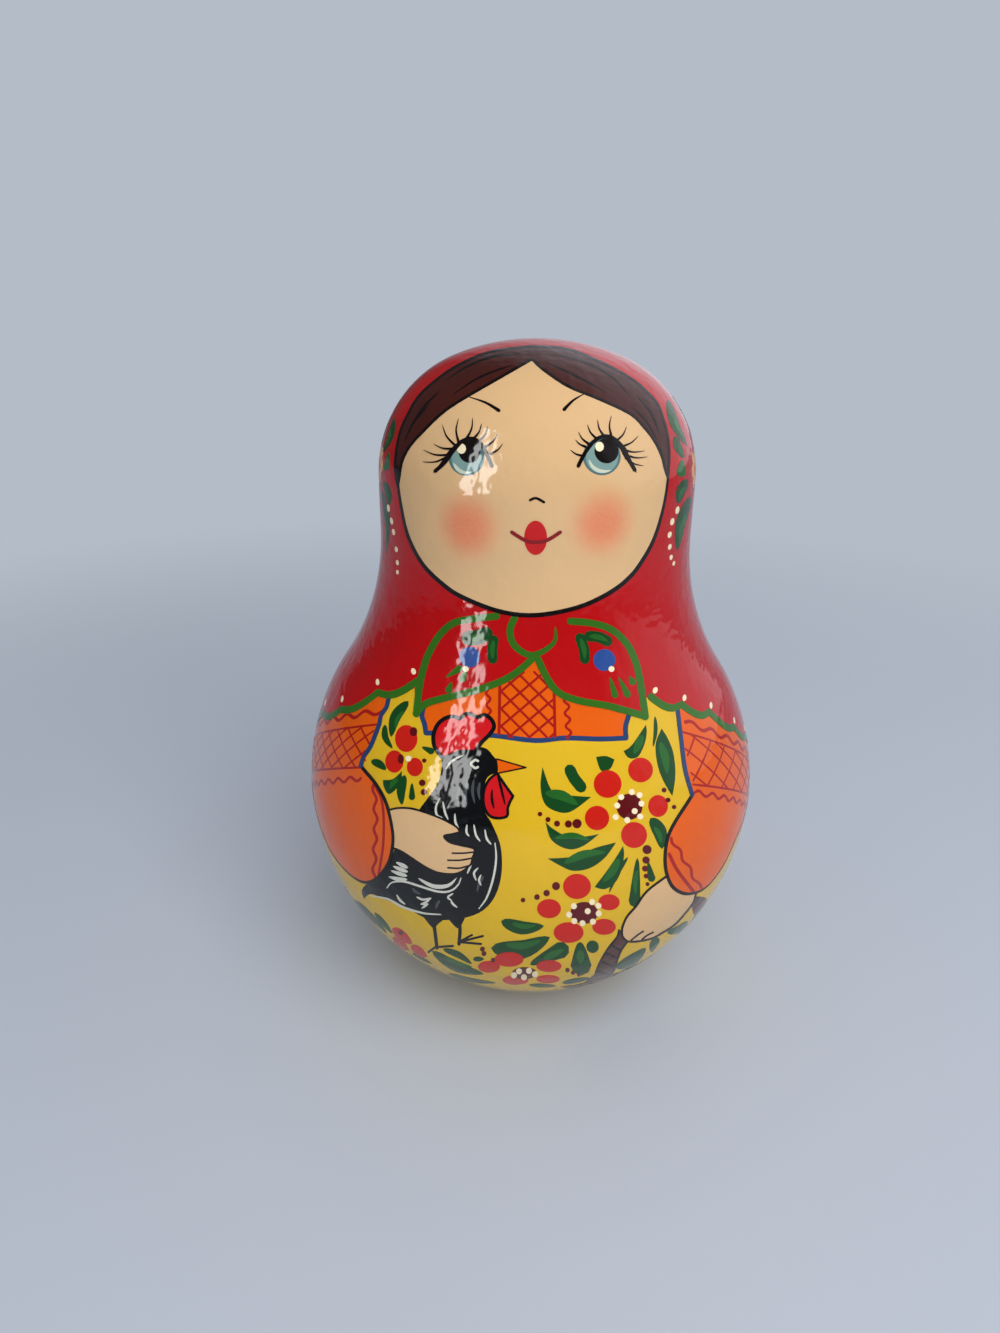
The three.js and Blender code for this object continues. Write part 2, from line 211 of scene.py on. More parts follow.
class Finish(Graph):
    """One material's nodes, ending in a Principled shader."""

    def __init__(self, name: str) -> None:
        """Starts a material with a bare Principled shader.

        Args:
            name: The material's name.
        """
        self.material = bpy.data.materials.new(name)
        super().__init__(self.material)
        self.shader = self.node("ShaderNodeBsdfPrincipled")
        self.ending = self.node("ShaderNodeOutputMaterial", {}, {"Surface": self.shader.outputs[0]})
        self.place = self.node("ShaderNodeTexCoord").outputs["Object"]

    def noise(self, scale: float, detail: float = 2.0, stretch: Pair | None = None) -> Field:
        """Adds a noise from 0 to 1 on Object coordinates.

        Args:
            scale: Cycles per metre.
            detail: Octaves of finer noise.
            stretch: Scales across and along the height, where the noise is drawn out.

        Returns:
            The noise as a value.
        """
        place = self.place
        if stretch is not None:
            wide, tall = stretch
            inputs = {"Vector": place, "Scale": (wide, wide, tall)}
            place = self.node("ShaderNodeMapping", {}, inputs).outputs[0]
        made = self.node("ShaderNodeTexNoise", {}, {"Vector": place, "Scale": scale, "Detail": detail})
        return Field(self, made.outputs[0])

    def blend(self, share: Field, first: object, second: object) -> bpy.types.NodeSocket:
        """Returns a mix of two colours, the second by a share."""
        made = self.node("ShaderNodeMix", {"data_type": "RGBA"}, {0: share, 6: first, 7: second})
        return made.outputs[2]

    def set(self, **inputs: object) -> None:
        """Fills the shader's sockets, named with _ for a space."""
        named = {key.replace("_", " ").title().replace("Ior", "IOR"): value for key, value in inputs.items()}
        self.fill(self.shader, named)

    def bump(self, height: Field, depth: float, strength: float) -> None:
        """Bends the shader's normals by a height from 0 to 1 that stands for a depth in metres."""
        made = self.node("ShaderNodeBump", {}, {"Strength": strength, "Distance": depth, "Height": height})
        self.set(normal=made.outputs[0])


@dataclass(frozen=True)
class Arc:
    """One round stretch of the doll's outline; its radius is negative where it is hollow.

    lean is the angle in radians at which the outward normal rises at its lower end, and foot is the
    outline's length up to there.
    """

    centre_r: float
    centre_z: float
    radius: float
    lean: float
    foot: float

    def section(self, rise: float) -> tuple[float, float, float, float]:
        """Returns the radius, the height and the normal's two parts at a length along the outline."""
        angle = self.lean + (rise - self.foot) / self.radius
        out, up = math.cos(angle), math.sin(angle)
        return self.centre_r + self.radius * out, self.centre_z + self.radius * up, out, up

    def rise_near(self, radius: float, height: float) -> float:
        """Returns the length along the outline that lies nearest to a radius and height."""
        up, out = (height - self.centre_z) / self.radius, (radius - self.centre_r) / self.radius
        return self.foot + self.radius * (math.atan2(up, out) - self.lean)

    def radius_at(self, height: float) -> float:
        """Returns the distance from the axis at a height."""
        up = (height - self.centre_z) / self.radius
        return self.centre_r + self.radius * math.sqrt(max(0.0, 1.0 - up * up))


@dataclass
class TurnedForm:
    """The doll's turned skin: a bowl, a hollow neck, a straight head and a rounded crown."""

    bowl_radius: float = 55.0
    rest_radius: float = 4.0
    neck_radius: float = 58.0
    head_radius: float = 35.4
    head_straight: float = 12.0
    corner_radius: float = 27.3
    crown_radius: float = 49.7

    def __post_init__(self) -> None:
        """Works out the arcs, each of which runs smoothly into the next."""
        bowl_z = math.sqrt(self.bowl_radius**2 - self.rest_radius**2)
        self.bowl = Arc(0.0, bowl_z, self.bowl_radius, -math.acos(self.rest_radius / self.bowl_radius), 0.0)
        neck_r = self.head_radius + self.neck_radius
        climb = math.sqrt((self.bowl_radius + self.neck_radius) ** 2 - neck_r**2)
        lean = math.atan2(climb, neck_r)
        foot = self.bowl_radius * (lean - self.bowl.lean)
        self.neck = Arc(neck_r, bowl_z + climb, -self.neck_radius, lean, foot)
        self.shoulder_z = bowl_z + self.bowl_radius * math.sin(lean)
        self.straight_foot = foot + self.neck_radius * lean
        foot = self.straight_foot + self.head_straight
        corner_r = self.head_radius - self.corner_radius
        corner_z = self.neck.centre_z + self.head_straight
        self.corner = Arc(corner_r, corner_z, self.corner_radius, 0.0, foot)
        drop = math.sqrt((self.crown_radius - self.corner_radius) ** 2 - corner_r**2)
        lean = math.atan2(drop, corner_r)
        foot += self.corner_radius * lean
        self.crown = Arc(0.0, corner_z - drop, self.crown_radius, lean, foot)
        self.corner_top_z = corner_z + self.corner_radius * math.sin(lean)
        self.top_z = self.crown.centre_z + self.crown_radius
        self.top_rise = foot + self.crown_radius * (math.pi / 2 - lean)

    def section(self, rise: float) -> tuple[float, float, float, float]:
        """Finds the outline at a length along it.

        Args:
            rise: The length along the outline from the edge of the resting flat.

        Returns:
            The radius, the height, and the outward normal's radial and upward parts.
        """
        if rise <= self.neck.foot:
            arc = self.bowl
        elif rise <= self.straight_foot:
            arc = self.neck
        elif rise <= self.corner.foot:
            return self.head_radius, self.neck.centre_z + rise - self.straight_foot, 1.0, 0.0
        else:
            arc = self.corner if rise <= self.crown.foot else self.crown
        return arc.section(min(rise, self.top_rise))

    def _arc_at(self, height: float) -> Arc | None:
        """Finds the arc of the outline at a height.

        Args:
            height: The height.

        Returns:
            The arc, or none on the head's straight.
        """
        if height <= self.shoulder_z:
            return self.bowl
        if height <= self.neck.centre_z:
            return self.neck
        if height <= self.corner.centre_z:
            return None
        return self.corner if height <= self.corner_top_z else self.crown

    def rise_near(self, radius: float, height: float) -> float:
        """Returns the length along the outline that lies nearest to a radius and height."""
        arc = self._arc_at(height)
        return arc.rise_near(radius, height) if arc else self.straight_foot + height - self.neck.centre_z

    def radius_at(self, height: float) -> float:
        """Returns the skin's radius at a height."""
        arc = self._arc_at(height)
        return arc.radius_at(height) if arc else self.head_radius

    def rise_at(self, height: float) -> float:
        """Returns the length along the outline at a height."""
        return self.rise_near(self.radius_at(height), height)

    def point(self, turn: float, rise: float, lift: float = 0.0) -> Vector:
        """Finds a point of the skin.

        Args:
            turn: The angle round the doll in radians, 0 in front.
            rise: The length along the outline.
            lift: The distance outside the skin.

        Returns:
            The point in millimetres.
        """
        radius, height, out, up = self.section(rise)
        radius += lift * out
        return Vector((radius * math.sin(turn), -radius * math.cos(turn), height + lift * up))

    def spot(self, place: Vector) -> Pair:
        """Returns the turn and rise of the skin nearest to a point in millimetres."""
        turn = math.atan2(place.x, -place.y)
        return turn, self.rise_near(math.hypot(place.x, place.y), place.z)

    def normal(self, turn: float, rise: float) -> Vector:
        """Returns the outward normal of the skin."""
        _, _, out, up = self.section(rise)
        return Vector((out * math.sin(turn), -out * math.cos(turn), up))


class Chart(Protocol):
    """A flat sheet on which shapes are drawn before they are cast on the skin."""

    def cast(self, place: Vector) -> Pair:
        """Returns the turn and rise of the skin under a place of the sheet."""


@dataclass
class PhotoChart:
    """The picture plane of the photograph, with the camera that took it.

    Angles are degrees, and focal, centre and frame_height are pixels. A ray's search goes from near to
    far by strides, and its last stride is halved.
    """

    form: TurnedForm
    eye: Triple = (0.0, -211.41, 170.17)
    yaw: float = 2.106
    pitch: float = 22.47
    roll: float = 0.61
    focal: float = 925.0
    centre: Pair = (500.0, 666.5)
    sensor_width: float = 36.0
    frame_height: float = 1333.0
    near: float = 100.0
    far: float = 420.0
    stride: float = 2.0
    halvings: int = 18

    def __post_init__(self) -> None:
        """Works out the camera's rotation."""
        turned = Matrix.Rotation(math.radians(self.yaw), 3, "Z")
        tilted = Matrix.Rotation(math.radians(90.0 - self.pitch), 3, "X")
        rolled = Matrix.Rotation(math.radians(self.roll), 3, "Z")
        self.rotation = turned @ tilted @ rolled

    def _gap(self, place: Vector) -> float:
        """Returns how far a point lies outside the skin, sideways."""
        height = min(max(place.z, 0.0), self.form.top_z)
        return math.hypot(place.x, place.y) - self.form.radius_at(height) + abs(place.z - height)

    def cast(self, place: Vector) -> Pair:
        """Follows a pixel's ray to the skin, or to where it passes nearest.

        Args:
            place: The pixel.

        Returns:
            The turn and rise of the skin there.
        """
        eye = Vector(self.eye)
        offset = (Vector(place) - Vector(self.centre)) / self.focal
        ray = self.rotation @ Vector((offset.x, -offset.y, -1.0)).normalized()
        best, best_gap = self.near, math.inf
        reach = self.near
        while reach < self.far:
            gap = self._gap(eye + ray * reach)
            if gap < best_gap:
                best, best_gap = reach, gap
            if gap <= 0.0:
                break
            reach += self.stride
        low, high = best - self.stride, best
        for _ in range(self.halvings):
            middle = (low + high) / 2
            if self._gap(eye + ray * middle) <= 0.0:
                high = middle
            else:
                low = middle
        return self.form.spot(eye + ray * high)


@dataclass
class SkinChart:
    """The skin unrolled in millimetres round a turn, in degrees, and a height: x to the right, y up."""

    form: TurnedForm
    turn: float
    height: float

    def __post_init__(self) -> None:
        """Finds the place on the skin."""
        self.angle = math.radians(self.turn)
        self.rise = self.form.rise_at(self.height)

    def cast(self, place: Vector) -> Pair:
        """Returns the turn and rise of the skin under a place of the sheet."""
        rise = self.rise + place[1]
        return self.angle + place[0] / self.form.section(rise)[0], rise

    def _flat(self, angle: float, rise: float) -> Pair:
        """Returns the place on the sheet of a turn in radians and a rise."""
        return (angle - self.angle) * self.form.section(rise)[0], rise - self.rise

    def at(self, turn: float, height: float) -> Pair:
        """Returns the place on the sheet of a turn in degrees and a height."""
        return self._flat(math.radians(turn), self.form.rise_at(height))

    def run(self, marks: Iterable[Pair], side: int = 1) -> Run:
        """Returns the places of turns and heights, on one side of the doll."""
        return tuple(self.at(side * turn, height) for turn, height in marks)

    def seen(self, photo: PhotoChart, pixels: Iterable[Pair]) -> Run:
        """Returns the places that lie under pixels of the photograph."""
        return tuple(self._flat(*photo.cast(Vector(pixel))) for pixel in pixels)


class Brush(Enum):
    """How wide a stroke is along its length."""

    LINE = "even"
    LASH = "thick, then thin"
    DROP = "thin, then thick"
    LEAF = "thin at both ends"
    SWELL = "thick in the middle"
    CURL = "even, then thin"

    def share(self, along: float) -> float:
        """Finds a stroke's width at a place.

        Args:
            along: The share of the stroke's length.

        Returns:
            The share of the full width.
        """
        shares = {
            Brush.LINE: 1.0,
            Brush.LASH: (1.0 - along) ** 0.7,
            Brush.DROP: along**0.6,
            Brush.LEAF: max(0.0, math.sin(math.pi * along**0.85)) ** 0.8,
            Brush.SWELL: 0.45 + 0.55 * math.sin(math.pi * along),
            Brush.CURL: 1.0 - 0.8 * along**3,
        }
        return shares[self]


class Level(IntEnum):
    """The order in which the coats of paint lie over each other."""

    GROUND = 1
    DETAIL = 2
    FINE = 3
    HAND = 4
    SLEEVE = 5
    HATCH = 6
    LINE = 7
    SCARF = 8
    SCARF_ART = 9
    SCARF_DETAIL = 10
    SCARF_FINE = 11
    TOP = 12
    GLINT = 13


def smooth(points: Sequence[Pair], closed: bool = False, steps: int = 6) -> list[Vector]:
    """Draws a smooth curve through points.

    Args:
        points: Places on a chart.
        closed: Whether the curve comes back to its start.
        steps: Straight pieces between two points.

    Returns:
        The places along the curve; a closed curve doesn't repeat its first.
    """
    spots = [Vector(point) for point in points]
    if len(spots) < 3 and not closed:
        return spots
    ring = [spots[-1], *spots, *spots[:2]] if closed else [spots[0], *spots, spots[-1]]
    curve = []
    for before, start, end, after in zip(ring, ring[1:], ring[2:], ring[3:]):
        for step in range(steps):
            t = step / steps
            bend = (2 * before - 5 * start + 4 * end - after) * t * t
            twist = (3 * start - before - 3 * end + after) * t**3
            curve.append((2 * start + (end - before) * t + bend + twist) / 2)
    return curve if closed else [*curve, spots[-1]]


@dataclass
class Pen:
    """Draws shapes on a chart and adds them to a film of paint, in the coat of its level.

    nib is how far the corners of a stroke's ends are drawn in, sides are those of a small oval and of a
    large one, and crests are the steps between two points of a wavy line and along each of its waves.
    """

    film: Film
    chart: Chart
    level: Level
    weld: float = 1e-4
    nib: float = 0.7
    large: float = 3.5
    sides: tuple[int, int] = (14, 28)
    parts: int = 8
    bends: int = 5
    crests: tuple[int, int] = (16, 6)

    def _add(self, outline: Sequence[Vector]) -> Pen:
        """Casts a closed outline, without repeated places, and adds it to the film.

        Args:
            outline: Places on the chart.

        Returns:
            The pen.
        """
        kept: list[Vector] = []
        for place in outline:
            if not kept or (place - kept[-1]).length > self.weld:
                kept.append(place)
        if (kept[0] - kept[-1]).length <= self.weld:
            kept.pop()
        self.film.add([self.chart.cast(place) for place in kept], self.level)
        return self

    def loop(self, *points: Pair) -> Pen:
        """Fills one smooth closed curve."""
        return self._add(smooth(points, closed=True))

    def fill(self, *runs: Sequence[Pair]) -> Pen:
        """Fills an outline of smooth runs that meet at corners."""
        return self._add([place for run in runs for place in smooth(run)])

    def oval(self, centre: Pair, wide: float, tall: float | None = None, tilt: float = 0.0) -> Pen:
        """Fills an oval.

        Args:
            centre: Its middle.
            wide: Half its width.
            tall: Half its height, or the same as its width.
            tilt: Its turn in degrees.

        Returns:
            The pen.
        """
        tall = wide if tall is None else tall
        sides = self.sides[wide > self.large]
        lean = math.radians(tilt)
        outline = []
        for side in range(sides):
            angle = math.tau * side / sides
            x, y = wide * math.cos(angle), tall * math.sin(angle)
            turned = (x * math.cos(lean) - y * math.sin(lean), x * math.sin(lean) + y * math.cos(lean))
            outline.append(Vector(centre) + Vector(turned))
        return self._add(outline)

    def ovals(self, ovals: Iterable[Sequence]) -> Pen:
        """Fills ovals, each given as its middle and its half sizes."""
        for centre, *halves in ovals:
            self.oval(centre, *halves)
        return self

    def dots(self, radius: float, centres: Iterable[Pair]) -> Pen:
        """Fills round dots of one size."""
        return self.ovals((centre, radius) for centre in centres)

    def stroke(self, points: Sequence[Pair], width: float, brush: Brush = Brush.LINE) -> Pen:
        """Paints a stroke along a smooth curve.

        Args:
            points: Places that the stroke passes.
            width: Its full width.
            brush: How the width changes along it.

        Returns:
            The pen.
        """
        path = self._path(points, self.bends)
        last = len(path) - 1
        left: list[Vector] = []
        right: list[Vector] = []
        for index, place in enumerate(path):
            along = (path[min(index + 1, last)] - path[max(index - 1, 0)]).normalized()
            reach = along * brush.share(index / last) * width / 2
            side = Vector((-reach.y, reach.x))
            left.append(place + side)
            right.append(place - side)
            if index == 0:
                heel = [place - (side + reach) * self.nib, place - reach, place + (side - reach) * self.nib]
        end = path[-1]
        toe = [end + (side + reach) * self.nib, end + reach, end + (reach - side) * self.nib]
        return self._add(left + toe + right[::-1] + heel)

    def strokes(self, runs: Iterable[Sequence[Pair]], width: float, brush: Brush = Brush.LINE) -> Pen:
        """Paints strokes of one width."""
        for run in runs:
            self.stroke(run, width, brush)
        return self

    def _path(self, points: Sequence[Pair], steps: int) -> list[Vector]:
        """Returns a smooth curve, or a straight line in equal parts."""
        if len(points) > 2:
            return smooth(points, steps=steps)
        start, end = (Vector(point) for point in points)
        return [start.lerp(end, step / self.parts) for step in range(self.parts + 1)]

    def leaf(self, base: Pair, tip: Pair, width: float, bend: float = 0.0, brush: Brush = Brush.LEAF) -> Pen:
        """Paints a leaf, petal or lash that may bow to one side.

        Args:
            base: Where it starts.
            tip: Where it ends.
            width: Its full width.
            bend: How far its middle bows, as a share of its length.
            brush: How the width changes along it.

        Returns:
            The pen.
        """
        start, end = Vector(base), Vector(tip)
        along = end - start
        middle = (start + end) / 2 + Vector((-along.y, along.x)) * bend
        return self.stroke((start, middle, end), width, brush)

    def leaves(self, leaves: Iterable[Sequence]) -> Pen:
        """Paints leaves, each given as its base, tip, width and, where it bows, its bend."""
        for leaf in leaves:
            self.leaf(*leaf)
        return self

    def wave(self, points: Sequence[Pair], width: float, swing: float, pitch: float) -> Pen:
        """Paints a wavy line along a curve.

        Args:
            points: Places that the line's middle passes.
            width: Its full width.
            swing: How far it swings to each side.
            pitch: The length of one wave.

        Returns:
            The pen.
        """
        steps, wave_steps = self.crests
        path = self._path(points, steps)
        marks, length = [], 0.0
        for start, end in zip(path, path[1:]):
            piece = (end - start).length
            marks.append((length, start, (end - start) / piece))
            length += piece
        line = []
        for reach in steps_between(0.0, length, max(4, round(length / pitch * wave_steps))):
            passed, start, along = [mark for mark in marks if mark[0] <= reach + NEAR][-1]
            side = Vector((-along.y, along.x)) * swing * math.sin(math.tau * reach / pitch)
            line.append(start + along * (reach - passed) + side)
        return self.stroke(line, width)


@dataclass(frozen=True)
class Coating:
    """A finish, whose material is made once.

    Attributes:
        name: The finish's name.
    """

    name: str

    def material(self) -> bpy.types.Material:
        """Returns the finish's material, and makes it the first time."""
        if self.name not in bpy.data.materials:
            self.lay(Finish(self.name))
        return bpy.data.materials[self.name]

    def lay(self, graph: Finish) -> None:
        """Sets up the material's nodes; each kind of finish has its own."""
        raise NotImplementedError


@dataclass(frozen=True)
class Paint(Coating):
    """A gloss-lacquered paint, a little uneven from the brush.

    Scales are cycles per metre, and depths are metres. gloss is the roughness under the lacquer, drag is
    what the marks of the brush add to it, mirror is the lacquer's specular level, and mottle is the share
    that patches have in the unevenness, beside the marks of the brush.
    """

    colour: Colour
    uneven: float = 0.10
    gloss: float = 0.06
    drag: float = 0.03
    mirror: float = 0.36
    mottle_scale: float = 160.0
    mottle: float = 0.65
    brush_scale: float = 900.0
    brush_stretch: Pair = (1.0, 0.3)
    wave_scale: float = 60.0
    ripple_scale: float = 350.0
    ripple: float = 0.5
    wave_depth: float = 0.00034
    wave_strength: float = 0.95

    def lay(self, graph: Finish) -> None:
        """Lays the paint and its lacquer."""
        mottle = graph.noise(self.mottle_scale, 3.0)
        brushed = graph.noise(self.brush_scale, 2.0, self.brush_stretch)
        share = mottle * self.mottle + brushed * (1.0 - self.mottle)
        dark, light = (linear(self.colour, 1.0 + sign * self.uneven) for sign in (-1, 1))
        tone = self.tint(graph, graph.blend(share, dark, light))
        graph.set(base_color=tone, roughness=self.gloss + self.drag * brushed, specular_ior_level=self.mirror)
        waves = graph.noise(self.wave_scale, 1.0) + self.ripple * graph.noise(self.ripple_scale, 1.0)
        graph.bump(waves, self.wave_depth, self.wave_strength)

    def tint(self, graph: Finish, tone: bpy.types.NodeSocket) -> bpy.types.NodeSocket:
        """Returns the paint's colour as it is; a finish with more colours overrides this."""
        return tone


@dataclass(frozen=True)
class BlushedSkin(Paint):
    """The face's paint, with two sponged cheeks.

    The cheeks' middles are in metres, and so are the radius that is solid and the one at which their colour
    has faded. sponge is the least of it between the sponge's marks, and how much more the marks have.
    """

    blush: Colour = (226, 112, 76)
    cheeks: tuple[Triple, ...] = ()
    solid: float = 0.0014
    fade: float = 0.0089
    strength: float = 0.72
    sponge: Pair = (0.72, 0.5)
    sponge_scale: float = 1500.0

    def tint(self, graph: Finish, tone: bpy.types.NodeSocket) -> bpy.types.NodeSocket:
        """Sponges the cheeks over the skin tone.

        Args:
            graph: The finish's nodes.
            tone: The skin tone.

        Returns:
            The blushed tone's socket.
        """
        least, more = self.sponge
        sponged = least + more * graph.noise(self.sponge_scale, 2.0)
        for cheek in self.cheeks:
            near = graph.ramp(graph.measure("DISTANCE", graph.place, cheek), self.fade, self.solid)
            tone = graph.blend(near * sponged * self.strength, tone, linear(self.blush))
        return tone


@dataclass(frozen=True)
class BareWood(Coating):
    """Turned lime wood, bare, with its grain and the marks of the tool.

    Scales are cycles per metre, a stretch goes across and along the height, and rough is the least
    roughness and how much more the tool's marks have.
    """

    pale: Colour = (226, 198, 152)
    dark: Colour = (196, 160, 110)
    grain_scale: float = 260.0
    grain_stretch: Pair = (1.0, 0.12)
    tool_scale: float = 900.0
    tool_stretch: Pair = (0.05, 1.0)
    rough: Pair = (0.55, 0.2)
    depth: float = 0.00012
    strength: float = 0.5

    def lay(self, graph: Finish) -> None:
        """Sets up the grain and the tool's marks."""
        grain = graph.noise(self.grain_scale, 4.0, self.grain_stretch)
        tool = graph.noise(self.tool_scale, 1.0, self.tool_stretch)
        least, more = self.rough
        graph.set(base_color=graph.blend(grain, linear(self.pale), linear(self.dark)))
        graph.set(roughness=least + more * tool)
        graph.bump(grain * 0.5 + tool * 0.5, self.depth, self.strength)


@dataclass(frozen=True)
class Metal(Coating):
    """A metal with its own tone, duller worn patches and surface marks.

    grain and patch_scale are cycles per metre, and depth is the marks' depth in metres.
    """

    colour: Colour
    worn: Colour
    rough: float
    grain: float
    depth: float
    metallic: float = 1.0
    patch_scale: float = 220.0
    patch_rough: float = 0.18
    strength: float = 0.6

    def lay(self, graph: Finish) -> None:
        """Sets up the patches and marks."""
        patches = graph.noise(self.patch_scale, 4.0)
        graph.set(base_color=graph.blend(patches, linear(self.colour), linear(self.worn)))
        graph.set(roughness=self.rough + self.patch_rough * patches, metallic=self.metallic)
        graph.bump(graph.noise(self.grain, 3.0), self.depth, self.strength)


@dataclass(frozen=True)
class FloorPaint(Coating):
    """A pale paint that fades into the backdrop far from the doll.

    It fades between the distances start and end, in metres, and rough is its least roughness and how
    much more it gets.
    """

    colour: Colour
    backdrop: Colour
    start: float = 0.14
    end: float = 0.55
    uneven: float = 0.03
    scale: float = 6.0
    rough: Pair = (0.5, 0.1)

    def lay(self, graph: Finish) -> None:
        """Sets up the paint, and the backdrop that only the camera sees."""
        tone = graph.noise(self.scale, 3.0)
        dark, light = (linear(self.colour, 1.0 + sign * self.uneven) for sign in (-1, 1))
        least, more = self.rough
        graph.set(base_color=graph.blend(tone, dark, light), roughness=least + more * tone)
        share = graph.ramp(graph.measure("LENGTH", graph.place), self.start, self.end)
        share *= Field(graph, graph.node("ShaderNodeLightPath").outputs["Is Camera Ray"])
        far = graph.node("ShaderNodeEmission", {}, {"Color": linear(self.backdrop)})
        both = graph.mixed(share, graph.shader.outputs[0], far.outputs[0])
        graph.fill(graph.ending, {"Surface": both})


SKIN = Paint("skin_paint", (218, 178, 129), 0.04)
SCARF_RED = Paint("scarf_red", (180, 12, 16), 0.08)
TRIM_GREEN = Paint("trim_green", (50, 104, 26), 0.14)
LEAF_GREEN = Paint("leaf_green", (20, 68, 28), 0.16)
CORE_GREEN = Paint("core_green", (36, 96, 36), 0.14)
DRESS_YELLOW = Paint("dress_yellow", (220, 177, 34), 0.05)
SLEEVE_ORANGE = Paint("sleeve_orange", (226, 92, 8), 0.07)
HATCH_RED = Paint("hatch_red", (166, 24, 18), 0.08)
BERRY_RED = Paint("berry_red", (198, 31, 20), 0.10)
MAROON = Paint("maroon", (92, 14, 20), 0.12)
CREAM = Paint("cream_dots", (246, 228, 188), 0.05)
PEACH = Paint("peach_petals", (226, 172, 108), 0.08)
TRIM_BLUE = Paint("trim_blue", (38, 62, 104), 0.14)
BERRY_BLUE = Paint("berry_blue", (44, 76, 142), 0.14)
LINE_BLACK = Paint("line_black", (19, 12, 12), 0.12)
HAIR_BROWN = Paint("hair_brown", (66, 26, 20), 0.22)
IRIS_RIM = Paint("iris_rim", (78, 112, 114), 0.10)
IRIS_GREY = Paint("iris_grey", (122, 152, 146), 0.10)
IRIS_PALE = Paint("iris_pale", (200, 206, 184), 0.06)
MOUTH_RED = Paint("mouth_red", (192, 13, 14), 0.10)
SMILE_RED = Paint("smile_red", (128, 12, 18), 0.10)
FEATHER_BLACK = Paint("feather_black", (13, 14, 16), 0.16)
FEATHER_GREY = Paint("feather_grey", (70, 75, 78), 0.12)
FEATHER_PALE = Paint("feather_pale", (206, 206, 192), 0.10)
COMB_RED = Paint("comb_red", (204, 24, 30), 0.12)
WICKER_BROWN = Paint("wicker_brown", (82, 46, 38), 0.20)
BARE_WOOD = BareWood("bare_lime_wood")
CAST_IRON = Metal("cast_iron", (62, 62, 64), (44, 42, 42), 0.62, 900.0, 0.0003, 0.7)
PLATE_STEEL = Metal("plate_steel", (150, 152, 156), (118, 118, 120), 0.34, 1400.0, 0.00006)
ROD_STEEL = Metal("rod_steel", (196, 198, 202), (168, 168, 172), 0.16, 2200.0, 0.00003)
ZINC_STEEL = Metal("zinc_steel", (176, 180, 186), (146, 148, 156), 0.30, 1800.0, 0.00004)
STRIKER_BRASS = Metal("striker_brass", (212, 172, 92), (176, 136, 66), 0.24, 1500.0, 0.00004)


def lathe(outline: Sequence[Vector], steps: int) -> bmesh.types.BMesh:
    """Turns a half section round the upright axis.

    Args:
        outline: Its places in millimetres, from axis to axis.
        steps: Facets round the axis.

    Returns:
        The closed solid, in metres.
    """
    solid = bmesh.new()
    verts = [solid.verts.new(place * MM) for place in outline]
    edges = [solid.edges.new(pair) for pair in zip(verts, verts[1:])]
    whole = {"angle": math.tau, "steps": steps, "use_merge": True}
    bmesh.ops.spin(solid, geom=verts + edges, cent=(0, 0, 0), axis=(0, 0, 1), **whole)
    bmesh.ops.remove_doubles(solid, verts=solid.verts[:], dist=NEAR * 0.1)
    bmesh.ops.recalc_face_normals(solid, faces=solid.faces[:])
    return solid


def thicken(sheet: bmesh.types.BMesh) -> list[bmesh.types.BMVert]:
    """Doubles a sheet, with smooth faces outside, and returns the vertices of its inner face."""
    outside = sheet.faces[:]
    made = bmesh.ops.extrude_face_region(sheet, geom=outside, use_keep_orig=True)
    for face in outside:
        face.smooth = True
    return [item for item in made["geom"] if isinstance(item, bmesh.types.BMVert)]


def meshed(name: str, shape: bmesh.types.BMesh, *finishes: Coating) -> bpy.types.Mesh:
    """Makes a shape a mesh with its finishes, and frees it.

    Args:
        name: The mesh's name.
        shape: The shape.
        finishes: The finishes of its material slots.

    Returns:
        The mesh.
    """
    mesh = bpy.data.meshes.new(name)
    shape.to_mesh(mesh)
    shape.free()
    for finish in finishes:
        mesh.materials.append(finish.material())
    return mesh


def finished_piece(
    mesh: bpy.types.Mesh, node: str | None = None, body: str = BODY
) -> None:
    """Puts a piece in the scene and on its body.

    Args:
        mesh: Its mesh, in place, which gives it its name.
        node: The CAD node that it stands for, if any.
        body: The body that it rides on.
    """
    piece = bpy.data.objects.new(mesh.name, mesh)
    bpy.context.scene.collection.objects.link(piece)
    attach(piece, body)
    if node is not None:
        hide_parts(node)
    LOG.info("%s: %d faces", mesh.name, len(mesh.polygons))


def skin_normals(form: TurnedForm, mesh: bpy.types.Mesh) -> bpy.types.Mesh:
    """Gives a mesh's smooth faces the true normals of the skin, so that the lacquer shines as one.

    Args:
        form: The turned skin.
        mesh: A mesh in metres, whose outer faces are smooth and whose other faces are flat.

    Returns:
        The same mesh.
    """
    normals = [Vector((0.0, 0.0, 0.0))] * len(mesh.loops)
    known: dict[int, Vector] = {}
    for face in mesh.polygons:
        if not face.use_smooth:
            continue
        for loop, vert in zip(face.loop_indices, face.vertices):
            if vert not in known:
                known[vert] = form.normal(*form.spot(mesh.vertices[vert].co / MM))
            normals[loop] = known[vert]
    mesh.normals_split_custom_set(normals)
    return mesh


